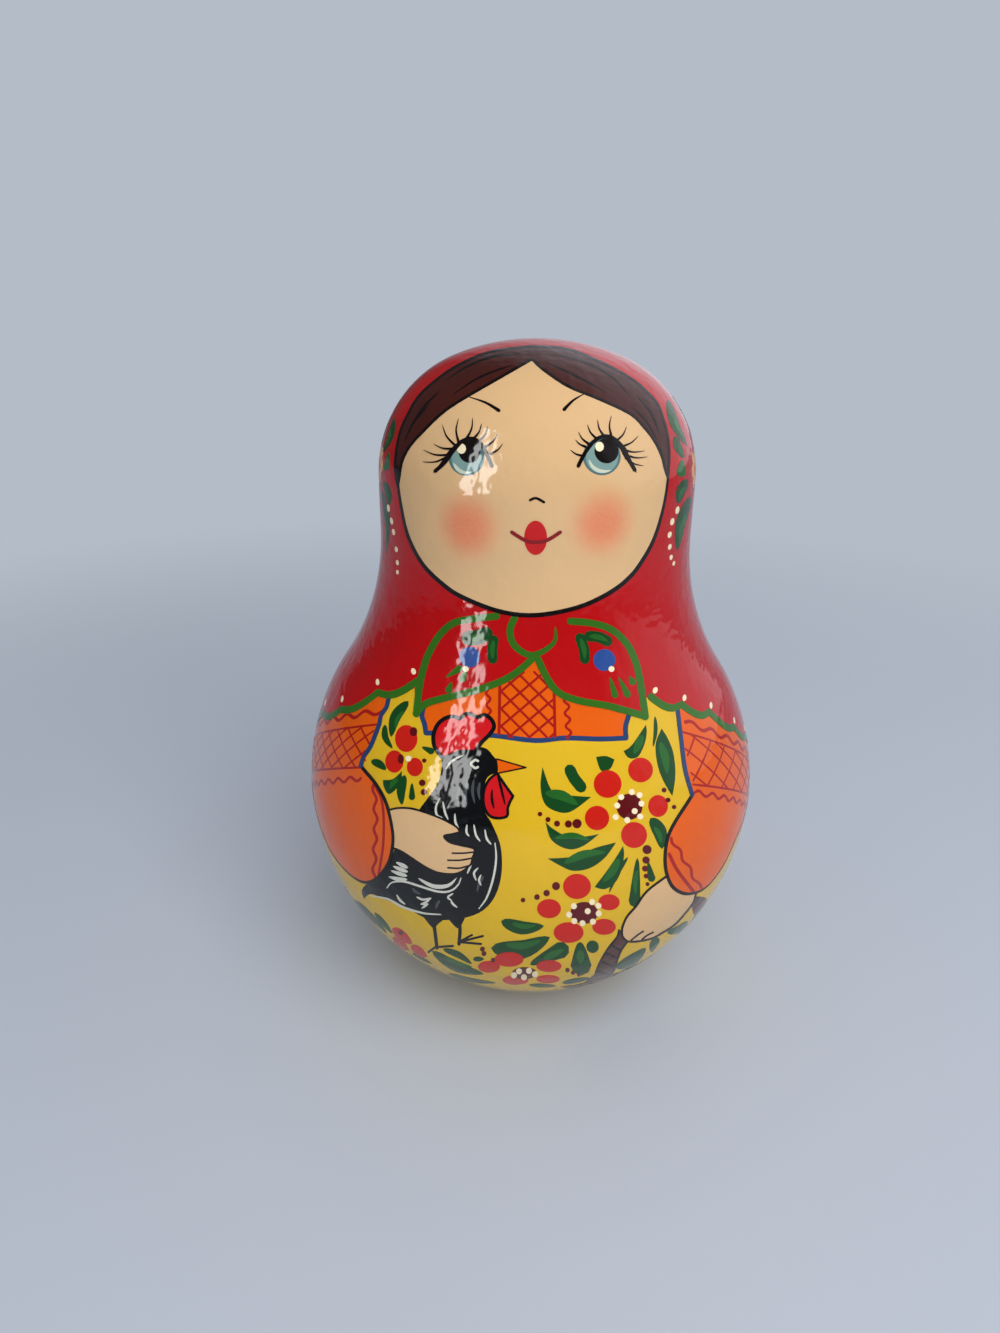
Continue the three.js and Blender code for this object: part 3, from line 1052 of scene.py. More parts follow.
@dataclass
class Film:
    """A thin coat of one paint: closed outlines that lie on the skin.

    An outline is kept as its turns and rises, and how far it stands off the skin: a level_lift for each coat
    and an order_lift for each outline before it. The inner face is buried in the skin, and the facets are
    cells of the skin unrolled at flat_radius.
    """

    form: TurnedForm
    name: str
    paint: Paint
    outlines: list[tuple[list[Pair], float]] = field(default_factory=list)
    flat_radius: float = 45.0
    cell: float = 1.25
    weld: float = 1e-4
    level_lift: float = 0.02
    order_lift: float = 0.0003
    bury: float = 0.08

    def add(self, spots: list[Pair], level: Level) -> None:
        """Adds one closed outline of turns and rises."""
        lift = self.level_lift * level + self.order_lift * len(self.outlines)
        self.outlines.append((spots, lift))

    def _flat(self, spots: list[Pair]) -> list[Vector]:
        """Unrolls an outline, anticlockwise.

        Args:
            spots: Turns and rises.

        Returns:
            Places on the unrolled skin, in millimetres.
        """
        places: list[Vector] = []
        turn = spots[0][0]
        for next_turn, rise in spots:
            turn += math.remainder(next_turn - turn, math.tau)
            places.append(Vector((turn * self.flat_radius, rise, 0.0)))
        area = sum(a.x * b.y - b.x * a.y for a, b in zip(places, places[1:] + places[:1]))
        return places if area > 0.0 else places[::-1]

    def _sheet(self, spots: list[Pair], lift: float) -> bmesh.types.BMesh:
        """Makes one outline a thin closed sheet on the skin.

        Args:
            spots: The outline's turns and rises.
            lift: How far its face stands off the skin.

        Returns:
            The sheet, with smooth faces outside and flat ones elsewhere.
        """
        sheet = bmesh.new()
        corners = [sheet.verts.new(place) for place in self._flat(spots)]
        edges = [sheet.edges.new(pair) for pair in zip(corners, corners[1:] + corners[:1])]
        bmesh.ops.triangle_fill(sheet, use_beauty=True, edges=edges, normal=(0.0, 0.0, 1.0))
        for axis in (Vector((1.0, 0.0, 0.0)), Vector((0.0, 1.0, 0.0))):
            reach = [vert.co.dot(axis) for vert in sheet.verts]
            for step in range(math.ceil(min(reach) / self.cell), math.floor(max(reach) / self.cell) + 1):
                whole = sheet.verts[:] + sheet.edges[:] + sheet.faces[:]
                cut = axis * step * self.cell
                bmesh.ops.bisect_plane(sheet, geom=whole, dist=self.weld, plane_co=cut, plane_no=axis)
        bmesh.ops.translate(sheet, verts=thicken(sheet), vec=(0.0, 0.0, -1.0))
        bmesh.ops.recalc_face_normals(sheet, faces=sheet.faces[:])
        for vert in sheet.verts:
            height = -self.bury if vert.co.z < -0.5 else lift
            vert.co = self.form.point(vert.co.x / self.flat_radius, vert.co.y, height) * MM
        return sheet

    def build(self) -> None:
        """Makes the film's mesh and puts it on the doll."""
        film = bmesh.new()
        scratch = bpy.data.meshes.new("scratch")
        for spots, lift in self.outlines:
            sheet = self._sheet(spots, lift)
            sheet.to_mesh(scratch)
            sheet.free()
            film.from_mesh(scratch)
        bpy.data.meshes.remove(scratch)
        finished_piece(skin_normals(self.form, meshed(self.name, film, self.paint)))


@dataclass
class Shells:
    """The two turned shells, bare inside and painted yellow outside, with a glued rebate.

    A facet is painted where its middle lies within skin_gap of the skin.
    """

    form: TurnedForm
    wall: float = 7.0
    floor: float = 12.3
    joint_z: float = 62.1
    rim_wall: float = 3.5
    ledge_z: float = 56.0
    glue_line: float = 0.1
    pilot_radius: float = 2.8
    pilot_bottom: float = 4.0
    steps: int = 192
    rows: int = 48
    skin_gap: float = 0.2

    def _run(self, low: float, high: float, lift: float = 0.0) -> list[Vector]:
        """Returns the skin's outline between two rises, offset by a lift."""
        return [self.form.point(math.pi / 2, rise, lift) for rise in steps_between(low, high, self.rows)]

    def _hollow_rise(self, height: float) -> float:
        """Returns the rise at which the lower hollow has a height."""
        angle = math.asin((height - self.form.bowl.centre_z) / (self.form.bowl_radius - self.wall))
        return self.form.bowl_radius * (angle - self.form.bowl.lean)

    def _turn(self, name: str, node: str, outline: list[Vector]) -> None:
        """Turns an outline round the axis, paints its skin and leaves the rest bare.

        Args:
            name: The piece's name.
            node: The CAD node that it stands for.
            outline: The half section, from axis to axis.
        """
        wood = lathe(outline, self.steps)
        for face in wood.faces:
            middle = face.calc_center_median() / MM
            skin = self.form.point(*self.form.spot(middle))
            face.smooth = (middle - skin).length < self.skin_gap and 0.01 < middle.z != self.joint_z
            face.material_index = 0 if face.smooth else 1
        mesh = meshed(name, wood, DRESS_YELLOW, BARE_WOOD)
        finished_piece(skin_normals(self.form, mesh), node)

    def build(self) -> None:
        """Makes both shells."""
        form = self.form
        joint = form.rise_at(self.joint_z)
        rebate = form.radius_at(self.joint_z) - self.rim_wall
        bowl = [Vector((0.0, 0.0, 0.0)), *self._run(0.0, joint)]
        bowl += [Vector((rebate, 0.0, z)) for z in (self.joint_z, self.ledge_z)]
        bowl += self._run(self._hollow_rise(self.ledge_z), self._hollow_rise(self.floor), -self.wall)
        bowl += [Vector((self.pilot_radius, 0.0, z)) for z in (self.floor, self.pilot_bottom)]
        self._turn("shell_lower", "lower_shell", [*bowl, Vector((0.0, 0.0, self.pilot_bottom))])
        spigot_z = self.ledge_z + self.glue_line
        head = self._run(form.top_rise, joint)
        head += [Vector((rebate - self.glue_line, 0.0, z)) for z in (self.joint_z, spigot_z)]
        head += self._run(self._hollow_rise(spigot_z), form.top_rise, -self.wall)
        self._turn("shell_upper", "upper_shell", head)


@dataclass
class Painter:
    """Paints one part of the doll, with one film for each of its paints."""

    form: TurnedForm
    photo: PhotoChart
    films: dict[str, Film] = field(default_factory=dict)

    def pen(self, name: str, paint: Paint, level: Level, chart: Chart | None = None) -> Pen:
        """Returns a pen for one of the part's films.

        Args:
            name: The film's name; a new name starts a new film.
            paint: Its finish.
            level: The coat in which the pen draws.
            chart: The sheet that it draws on, or none for the photograph.

        Returns:
            The pen.
        """
        film = self.films.setdefault(name, Film(self.form, name, paint))
        return Pen(film, chart or self.photo, level)

    def draw(self) -> None:
        """Draws the part's shapes; each part has its own."""
        raise NotImplementedError

    def build(self) -> None:
        """Draws the part and makes its films."""
        self.draw()
        for film in self.films.values():
            film.build()


@dataclass(frozen=True)
class HemSide:
    """One side of the scarf's scalloped hem.

    Its marks are turns and heights, from the tail to the back. Scallops of one pitch begin at the turn
    first, hang down by sag and fade out before the back, and their dots lie above the hem.
    """

    marks: Run
    first: float
    pitch: float
    above: float
    sag: float = 1.3
    fade: float = 12.0

    def height(self, turn: float) -> float:
        """Returns the hem's height at a turn from the front, outside the tails."""
        fade = min(1.0, (BACK - turn) / self.fade)
        wave = abs(math.sin(math.pi * (turn - self.first) / self.pitch))
        return level_at(self.marks, turn) - self.sag * fade * wave


@dataclass(frozen=True)
class Spray:
    """What the photograph shows of a side spray of the scarf, with dots from large to small."""

    leaves: Drops
    bud: Run
    bud_width: float
    dots: Run


@dataclass
class Scarf(Painter):
    """The red headscarf with its knot, tails, scalloped hem and painted sprays.

    What the photograph shows is in its pixels. The hem and the flowers are given as turns and heights,
    and what is drawn there is in millimetres.
    """

    columns: int = 360
    rows: int = 64
    hems: tuple[HemSide, HemSide] = (
        HemSide(((35.3, 92.8), (48.6, 87.9), (62.3, 80.4), (75.0, 75.2), (105.0, 60.0), (140.0, 46.5),
                 (180.0, 38.0)), 35.3, 13.2, 1.6),
        HemSide(((34.0, 91.6), (46.4, 87.6), (56.4, 83.9), (66.6, 77.5), (76.0, 72.0), (105.0, 58.5),
                 (140.0, 46.0), (180.0, 38.0)), 36.0, 10.4, 0.8),
    )
    hem_line: float = 1.45
    hem_z: float = 80.0
    hem_steps: int = 8
    dot: Pair = (0.74, 0.64)
    dot_shift: float = 2.2
    tail_left: Run = (
        (416.5, 713.5), (427, 703.5), (449.5, 697), (479, 689.5), (505, 679.5), (521, 669), (532, 659))
    tail_right: Run = ((538, 659), (547, 678), (559, 693), (580, 701), (608, 706), (644, 716))
    tail_turns: tuple[int, int] = (36, 34)
    outer_left: Run = (
        (497, 616), (471, 619), (454, 623), (441, 634), (431, 650), (425, 665), (420, 686), (417, 714))
    outer_right: Run = ((570, 621), (591, 623), (610, 629), (625, 642), (634, 659), (639, 678), (645, 717))
    knot: Run = ((515, 617), (510, 631), (515, 646), (530, 655), (545, 650), (555, 640), (555, 627))
    trim: float = 7.0
    tail_leaves: Leaves = (
        ((469, 638), (486, 634), 15, 0.08), ((494, 640), (493, 659), 10, 0.05),
        ((580, 638), (584.5, 659), 10.5, -0.06), ((589, 636), (607, 641), 11, -0.08))
    tail_drops: Runs = (
        ((609.5, 677), (614.5, 695)), ((618, 677), (627, 694.5)), ((629, 676), (632, 682)),
        ((446, 677.5), (460, 668.5)), ((467, 669), (463, 679)), ((452, 682), (449, 690)))
    drop_width: float = 7.0
    tail_berries: Rounds = (((470, 657), 10.5), ((604, 660), 11))
    tail_dots: Run = ((466, 669), (611, 669))
    tail_dot: float = 3.0
    core: Triple = (0.3, 0.85, 0.38)
    sprays: tuple[Spray, Spray] = (
        Spray((((395, 419), (383.5, 453), 6.0), ((384.5, 481), (390.5, 505), 6.5),
               ((382.5, 490), (387, 553), 5.0)),
              ((390, 452), (387, 468)), 6.0,
              ((389.1, 508.2), (392.3, 520.9), (394.2, 532), (397, 549.2), (398.1, 562.6), (398.1, 572.2))),
        Spray((((667, 400), (686, 446), 9.0), ((674, 436.5), (683.5, 458.5), 8.0),
               ((686.5, 479), (677, 504), 9.5), ((690, 496), (676.5, 551), 10.0)),
              ((681.5, 460), (680.5, 472)), 10.0,
              ((676.6, 510.1), (671.5, 521.6), (668.9, 534.6), (669, 546.8), (670.4, 557.3), (673, 563.3))),
    )
    spray_bend: float = 0.06
    spray_scale: float = 0.42
    spray_bud: float = 3.4
    spray_dot: Triple = (0.9, 0.8, 0.06)
    flower_turn: float = 75.5
    flower_z: float = 133.6
    petals: int = 6
    petal_reach: float = 2.5
    petal: Pair = (1.7, 1.4)
    heart: float = 1.5

    def _edge(self) -> list[Pair]:
        """Returns the whole lower edge as turns and rises, from back to back."""
        (left, right), (first, last) = self.hems, self.tail_turns
        edge: list[Pair] = []
        for turn in range(int(BACK), first - 1, -1):
            edge.append((math.radians(-turn), self.form.rise_at(left.height(turn))))
        for run in (self.tail_left, self.tail_right):
            edge.extend(self.photo.cast(place) for place in smooth(run))
        for turn in range(last, int(BACK) + 1):
            edge.append((math.radians(turn), self.form.rise_at(right.height(turn))))
        return edge

    def _cloth(self) -> None:
        """Makes the scarf's coat, from the hem to the crown."""
        edge = self._edge()
        cloth = bmesh.new()
        bmesh.ops.create_grid(cloth, x_segments=self.columns, y_segments=self.rows, size=1.0)
        lift = Film.level_lift * Level.SCARF
        for vert in cloth.verts:
            turn = vert.co.x * math.pi
            rise = mix(level_at(edge, turn), self.form.top_rise, (vert.co.y + 1.0) / 2)
            vert.co = self.form.point(turn, rise, lift) * MM
        bmesh.ops.remove_doubles(cloth, verts=cloth.verts[:], dist=NEAR)
        bmesh.ops.recalc_face_normals(cloth, faces=cloth.faces[:])
        for vert in thicken(cloth):
            vert.co = self.form.point(*self.form.spot(vert.co / MM), -Film.bury) * MM
        bmesh.ops.recalc_face_normals(cloth, faces=cloth.faces[:])
        finished_piece(skin_normals(self.form, meshed("scarf", cloth, SCARF_RED)))

    def _trim(self) -> None:
        """Paints the green hem with its dots, the tails' edges and the knot."""
        pen = self.pen("scarf_trim", TRIM_GREEN, Level.SCARF_DETAIL)
        pen.strokes((self.outer_left, self.tail_left, self.outer_right, self.tail_right), self.trim)
        pen.stroke(self.knot, self.trim, Brush.CURL).strokes(self.tail_drops, self.drop_width, Brush.DROP)
        around = SkinChart(self.form, 0.0, self.hem_z)
        pen = self.pen("scarf_trim", TRIM_GREEN, Level.SCARF_ART, around)
        pale = self.pen("scarf_dots", CREAM, Level.SCARF_DETAIL, around)
        for side, hem in zip(SIDES, self.hems):
            for count in range(math.ceil((BACK - hem.first) / hem.pitch)):
                start = hem.first + hem.pitch * count
                turns = steps_between(start, min(start + hem.pitch, BACK), self.hem_steps)
                pen.stroke(around.run(((turn, hem.height(turn)) for turn in turns), side), self.hem_line)
                dot = around.at(side * (start + self.dot_shift), hem.height(start) + hem.above)
                pale.oval(dot, *self.dot)

    def _cored(self, leaf: Pen, core: Pen, root: Pair, tip: Pair, width: float, bend: float) -> None:
        """Paints a leaf with a lighter core.

        Args:
            leaf: The pen of the leaf.
            core: The pen of its core.
            root: Where the leaf starts.
            tip: Where it ends.
            width: Its full width.
            bend: How far its middle bows, as a share of its length.
        """
        leaf.leaf(root, tip, width, bend)
        start, end, share = self.core
        base, point = Vector(root), Vector(tip)
        core.leaf(base.lerp(point, start), base.lerp(point, end), width * share, bend)

    def _spray(self, side: int, spray: Spray) -> None:
        """Paints one side's spray: what the photograph shows, and its mirror image behind.

        Args:
            side: 1 on the viewer's right, -1 on the left.
            spray: What the photograph shows.
        """
        chart = SkinChart(self.form, side * self.flower_turn, self.flower_z)
        leaf = self.pen("scarf_leaves", LEAF_GREEN, Level.SCARF_ART, chart)
        core = self.pen("scarf_leaf_cores", CORE_GREEN, Level.SCARF_DETAIL, chart)
        front_leaf = self.pen("scarf_leaves", LEAF_GREEN, Level.SCARF_ART)
        front_core = self.pen("scarf_leaf_cores", CORE_GREEN, Level.SCARF_DETAIL)
        bend = self.spray_bend * side
        for root, tip, width in spray.leaves:
            self._cored(front_leaf, front_core, root, tip, width, bend)
            (x1, y1), (x2, y2) = chart.seen(self.photo, (root, tip))
            self._cored(leaf, core, (-x1, y1), (-x2, y2), width * self.spray_scale, bend)
        front_core.leaf(*spray.bud, spray.bud_width, 0.0, Brush.DROP)
        (x1, y1), (x2, y2) = chart.seen(self.photo, spray.bud)
        core.leaf((-x1, y1), (-x2, y2), self.spray_bud, 0.0, Brush.DROP)
        pale = self.pen("scarf_dots", CREAM, Level.SCARF_DETAIL, chart)
        wide, tall, less = self.spray_dot
        for index, (x, y) in enumerate(chart.seen(self.photo, spray.dots)):
            for flip in (1, -1):
                pale.oval((flip * x, y), wide - less * index, tall - less * index)
        petal = self.pen("scarf_flowers", PEACH, Level.SCARF_ART, chart)
        for count in range(self.petals):
            angle = math.tau * count / self.petals
            middle = (self.petal_reach * math.cos(angle), self.petal_reach * math.sin(angle))
            petal.oval(middle, *self.petal, math.degrees(angle))
        self.pen("scarf_hearts", SLEEVE_ORANGE, Level.SCARF_DETAIL, chart).oval((0, 0), self.heart)

    def draw(self) -> None:
        """Makes the scarf and everything painted on it."""
        self._cloth()
        self._trim()
        leaf = self.pen("scarf_leaves", LEAF_GREEN, Level.SCARF_ART)
        core = self.pen("scarf_leaf_cores", CORE_GREEN, Level.SCARF_DETAIL)
        for root, tip, width, bend in self.tail_leaves:
            leaf.leaf(root, tip, width, bend, Brush.LINE)
            core.leaf(root, tip, width / 2, bend)
        self.pen("scarf_berries", BERRY_BLUE, Level.SCARF_ART).ovals(self.tail_berries)
        self.pen("scarf_dots", CREAM, Level.SCARF_DETAIL).dots(self.tail_dot, self.tail_dots)
        for side, spray in zip(SIDES, self.sprays):
            self._spray(side, spray)


@dataclass
class Face(Painter):
    """The painted face in the scarf's opening, in pixels of the photograph."""

    jaw: Run = (
        (398, 466), (399.5, 490), (405.7, 525), (413.4, 546.7), (424.8, 565.8), (441.4, 582.4), (461, 596),
        (499, 611), (536, 615), (578, 607), (610, 592), (630, 576), (642.8, 558.6), (653, 539.4),
        (660, 517.8), (665, 495), (668, 470))
    top: Run = (
        (667, 437), (655, 405), (633, 381), (603, 364), (568, 350), (532, 347), (489, 353), (455, 368),
        (429, 387), (411, 410), (402, 429), (397.4, 448))
    hair_outer: Runs = (
        ((532, 347), (489, 353), (455, 368), (429, 387), (417, 400), (409.5, 413), (402, 429),
        (397.4, 448.5), (396, 469), (398.5, 486)), ((532, 347), (568, 350), (603, 364), (633, 381),
        (655, 402), (663, 421), (667, 437), (668.5, 456), (667, 477)))
    hair_inner: Runs = (
        ((398.5, 486), (400, 477), (403, 461), (410.8, 446), (423.6, 432), (441, 415), (461, 401),
        (506, 375), (532, 360)), ((667, 477), (664.4, 469), (660.6, 455), (653, 440), (642.8, 427),
        (629, 414), (597, 399), (568, 387), (544, 371), (532, 360)))
    hair_lines: Pair = (2.4, 2.8)
    strands: Runs = (
        ((522, 355), (495, 357), (468, 367), (445, 382)), ((512, 366), (480, 378), (452, 396)),
        ((440, 392), (424, 408), (411, 428)), ((430, 405), (415, 422), (405, 442)),
        ((553, 355), (585, 363), (612, 378), (630, 398)), ((548, 364), (578, 378), (606, 393)),
        ((636, 396), (650, 413), (659, 434)), ((632, 408), (646, 422), (656, 440)))
    brows: Runs = (((499, 411), (485.5, 403), (467.5, 397)), ((564, 410), (573, 401), (585, 394)))
    lids: Runs = (
        ((492, 466), (488, 456), (482, 445), (473, 439), (462, 442), (453, 452), (445, 463), (436, 471)),
        ((578, 466), (586, 451), (597, 439), (609, 437), (620, 445), (626, 456), (634, 470)))
    lid_tails: Runs = (
        ((464, 441), (453, 451), (445, 462), (434, 473)), ((611, 438), (621, 447), (627, 458), (636, 473)))
    lashes: Runs = (
        ((448, 457), (423, 462)), ((449, 455), (424, 450)), ((453, 449), (434, 444)),
        ((455, 445), (443, 425)), ((459, 442), (459, 419)), ((467, 439), (473, 418)),
        ((474, 439), (482, 424)), ((481, 440), (488, 427)), ((486, 447), (498, 434)),
        ((491, 454), (503, 444)), ((582, 456), (570, 450)), ((585, 447), (575, 440)),
        ((588, 444), (578, 432)), ((596, 439), (587, 425)), ((604, 437), (597, 420)),
        ((611, 437), (611, 416)), ((616, 441), (626, 427)), ((620, 447), (638, 436)),
        ((621, 449), (644, 451)), ((623, 454), (647, 457)), ((625, 458), (643, 466)))
    lash_bend: float = 0.10
    rims: Rounds = (((467, 458), 17.8), ((601.4, 456.5), 18.8))
    irises: Rounds = (((467, 459), 15), ((601.4, 457.5), 16))
    pupils: Ovals = (((470, 451), 11, 12), ((606, 451), 12, 12.5))
    glints: Ovals = (((462, 449), 4.5, 5), ((599, 447), 4.2, 4.8))
    crescents: Runs = (
        ((454, 463), (458, 469), (464, 472.5), (473, 472)),
        ((588.5, 460), (592, 466.5), (598, 470.5), (605, 471.5), (611, 470)))
    nose: Run = ((530, 500), (536, 498), (544, 502))
    lips: Ovals = (((535.6, 537.6), 11.5, 17.2),)
    smile: Run = ((512, 532), (525, 540), (536, 542), (547, 540), (560, 532))
    cheeks: Run = ((467.3, 526.5), (603, 523))
    strand_width: float = 2.2
    jaw_width: float = 4.5
    nose_width: float = 2.6
    brow_width: float = 3.6
    lid_width: float = 3.8
    lid_tail_width: float = 5.6
    lash_width: float = 2.5
    crescent_width: float = 3.8
    smile_width: float = 3.8

    def _eyes(self) -> None:
        """Paints the irises, pupils and their glints."""
        self.pen("iris_rims", IRIS_RIM, Level.SCARF_DETAIL).ovals(self.rims)
        self.pen("irises", IRIS_GREY, Level.SCARF_FINE).ovals(self.irises)
        self.pen("pupils", LINE_BLACK, Level.TOP).ovals(self.pupils)
        self.pen("glints", CREAM, Level.GLINT).ovals(self.glints)
        moon = self.pen("eye_crescents", IRIS_PALE, Level.TOP)
        moon.strokes(self.crescents, self.crescent_width, Brush.LEAF)

    def draw(self) -> None:
        """Paints the whole face."""
        cheeks = tuple(tuple(self.form.point(*self.photo.cast(Vector(cheek))) * MM) for cheek in self.cheeks)
        blushed = BlushedSkin("face_paint", SKIN.colour, SKIN.uneven, cheeks=cheeks)
        self.pen("face", blushed, Level.SCARF_ART).loop(*self.jaw, *self.top)
        hair = self.pen("hair", HAIR_BROWN, Level.SCARF_DETAIL)
        line = self.pen("face_lines", LINE_BLACK, Level.SCARF_FINE)
        outer_width, inner_width = self.hair_lines
        for outer, inner in zip(self.hair_outer, self.hair_inner):
            hair.fill(outer, inner)
            line.stroke(outer, outer_width).stroke(inner, inner_width)
        line.strokes(self.strands, self.strand_width, Brush.LEAF)
        line.stroke(self.jaw, self.jaw_width, Brush.SWELL).stroke(self.nose, self.nose_width)
        line.strokes(self.brows, self.brow_width, Brush.LASH)
        self._eyes()
        line = self.pen("face_lines", LINE_BLACK, Level.GLINT)
        for lid, lid_tail in zip(self.lids, self.lid_tails):
            line.stroke(lid, self.lid_width).stroke(lid_tail, self.lid_tail_width, Brush.LEAF)
        for root, tip in self.lashes:
            bend = self.lash_bend if tip[0] > root[0] else -self.lash_bend
            line.leaf(root, tip, self.lash_width, bend, Brush.LASH)
        self.pen("lips", MOUTH_RED, Level.SCARF_DETAIL).ovals(self.lips)
        self.pen("smile", SMILE_RED, Level.SCARF_FINE).stroke(self.smile, self.smile_width)


@dataclass
class Dress(Painter):
    """The yoke under the scarf's tails and the blue trim of the apron, in pixels of the photograph."""

    yoke: Run = (
        (629, 706), (626, 738), (590, 740), (539, 740), (500, 736), (460, 734), (425, 732), (424, 700),
        (470, 680), (535, 645), (600, 690), (629, 706))
    panel: Pair = (500.0, 554.5)
    panel_ends: Pair = (672.0, 737.0)
    panel_sides: Runs = (((500, 680), (499, 735)), ((554, 690), (555, 737)))
    panel_line: float = 3.0
    hatch_sets: Run = ((700.0, 1.0), (704.0, -0.85))
    hatch_range: tuple[int, int] = (-4, 6)
    hatch_line: float = 2.4
    hatch_least: float = 3.0
    spacing: float = 17.5
    waves: tuple[tuple[Run, float, float], ...] = (
        (((488, 690), (489, 716)), 2.0, 12.0), (((566, 697), (569, 738)), 2.4, 13.0))
    wave_line: float = 2.6
    yoke_trim: Runs = (
        ((424.6, 704), (422, 715), (424.6, 724), (426, 733)),
        ((426, 733), (460, 733.5), (493.6, 735.5), (535, 740.5), (565, 738), (600, 739), (626, 738)),
        ((626, 738), (625.6, 726), (630, 712)))
    yoke_line: float = 5.0
    armholes: Runs = (
        ((389, 697), (386.7, 707), (381.5, 715), (379.5, 724), (376, 733.5), (370.5, 747), (364, 757),
        (361, 766)), ((677, 706), (681, 740), (685, 770), (692, 795)))
    armhole_line: float = 4.0

    def _hatch(self, pen: Pen, middle: float, slope: float) -> None:
        """Draws one slanting line of the hatched panel, as far as the panel goes.

        Args:
            pen: The pen of the hatching.
            middle: The line's height at the panel's middle.
            slope: Its fall for each step to the right.
        """
        centre = sum(self.panel) / 2
        ends = [centre + (end - middle) / slope for end in self.panel_ends]
        left, right = max(self.panel[0], min(ends)), min(self.panel[1], max(ends))
        if right - left > self.hatch_least:
            pen.stroke([(x, middle + slope * (x - centre)) for x in (left, right)], self.hatch_line)

    def draw(self) -> None:
        """Paints the yoke, its hatching and the trim."""
        self.pen("yoke", SLEEVE_ORANGE, Level.GROUND).fill(*zip(self.yoke, self.yoke[1:]))
        pen = self.pen("yoke_hatch", HATCH_RED, Level.DETAIL).strokes(self.panel_sides, self.panel_line)
        for count in range(*self.hatch_range):
            for middle, slope in self.hatch_sets:
                self._hatch(pen, middle + self.spacing * count, slope)
        for run, swing, pitch in self.waves:
            pen.wave(run, self.wave_line, swing, pitch)
        self.pen("blue_trim", TRIM_BLUE, Level.DETAIL).strokes(self.yoke_trim, self.yoke_line)
        self.pen("blue_trim", TRIM_BLUE, Level.LINE).strokes(self.armholes, self.armhole_line)


@dataclass(frozen=True)
class SleeveSide:
    """One sleeve: its edges in the photograph, and its bands from the armhole's turn on.

    A band is its height and slope there, and all of them drop by bow for each squared degree. A set of the
    lattice's lines is its first turn, pitch and lean.
    """

    side: int
    puff: Run
    armhole: Run
    start: float
    wave_start: float
    bow: float
    upper_wave: Pair
    upper_line: Pair
    lower_line: Pair
    lower_wave: Pair
    lattice: tuple[Triple, Triple]

    def height(self, band: Pair, turn: float) -> float:
        """Returns a band's height at a turn from the front."""
        away = turn - self.start
        return band[0] + band[1] * away + self.bow * away * away


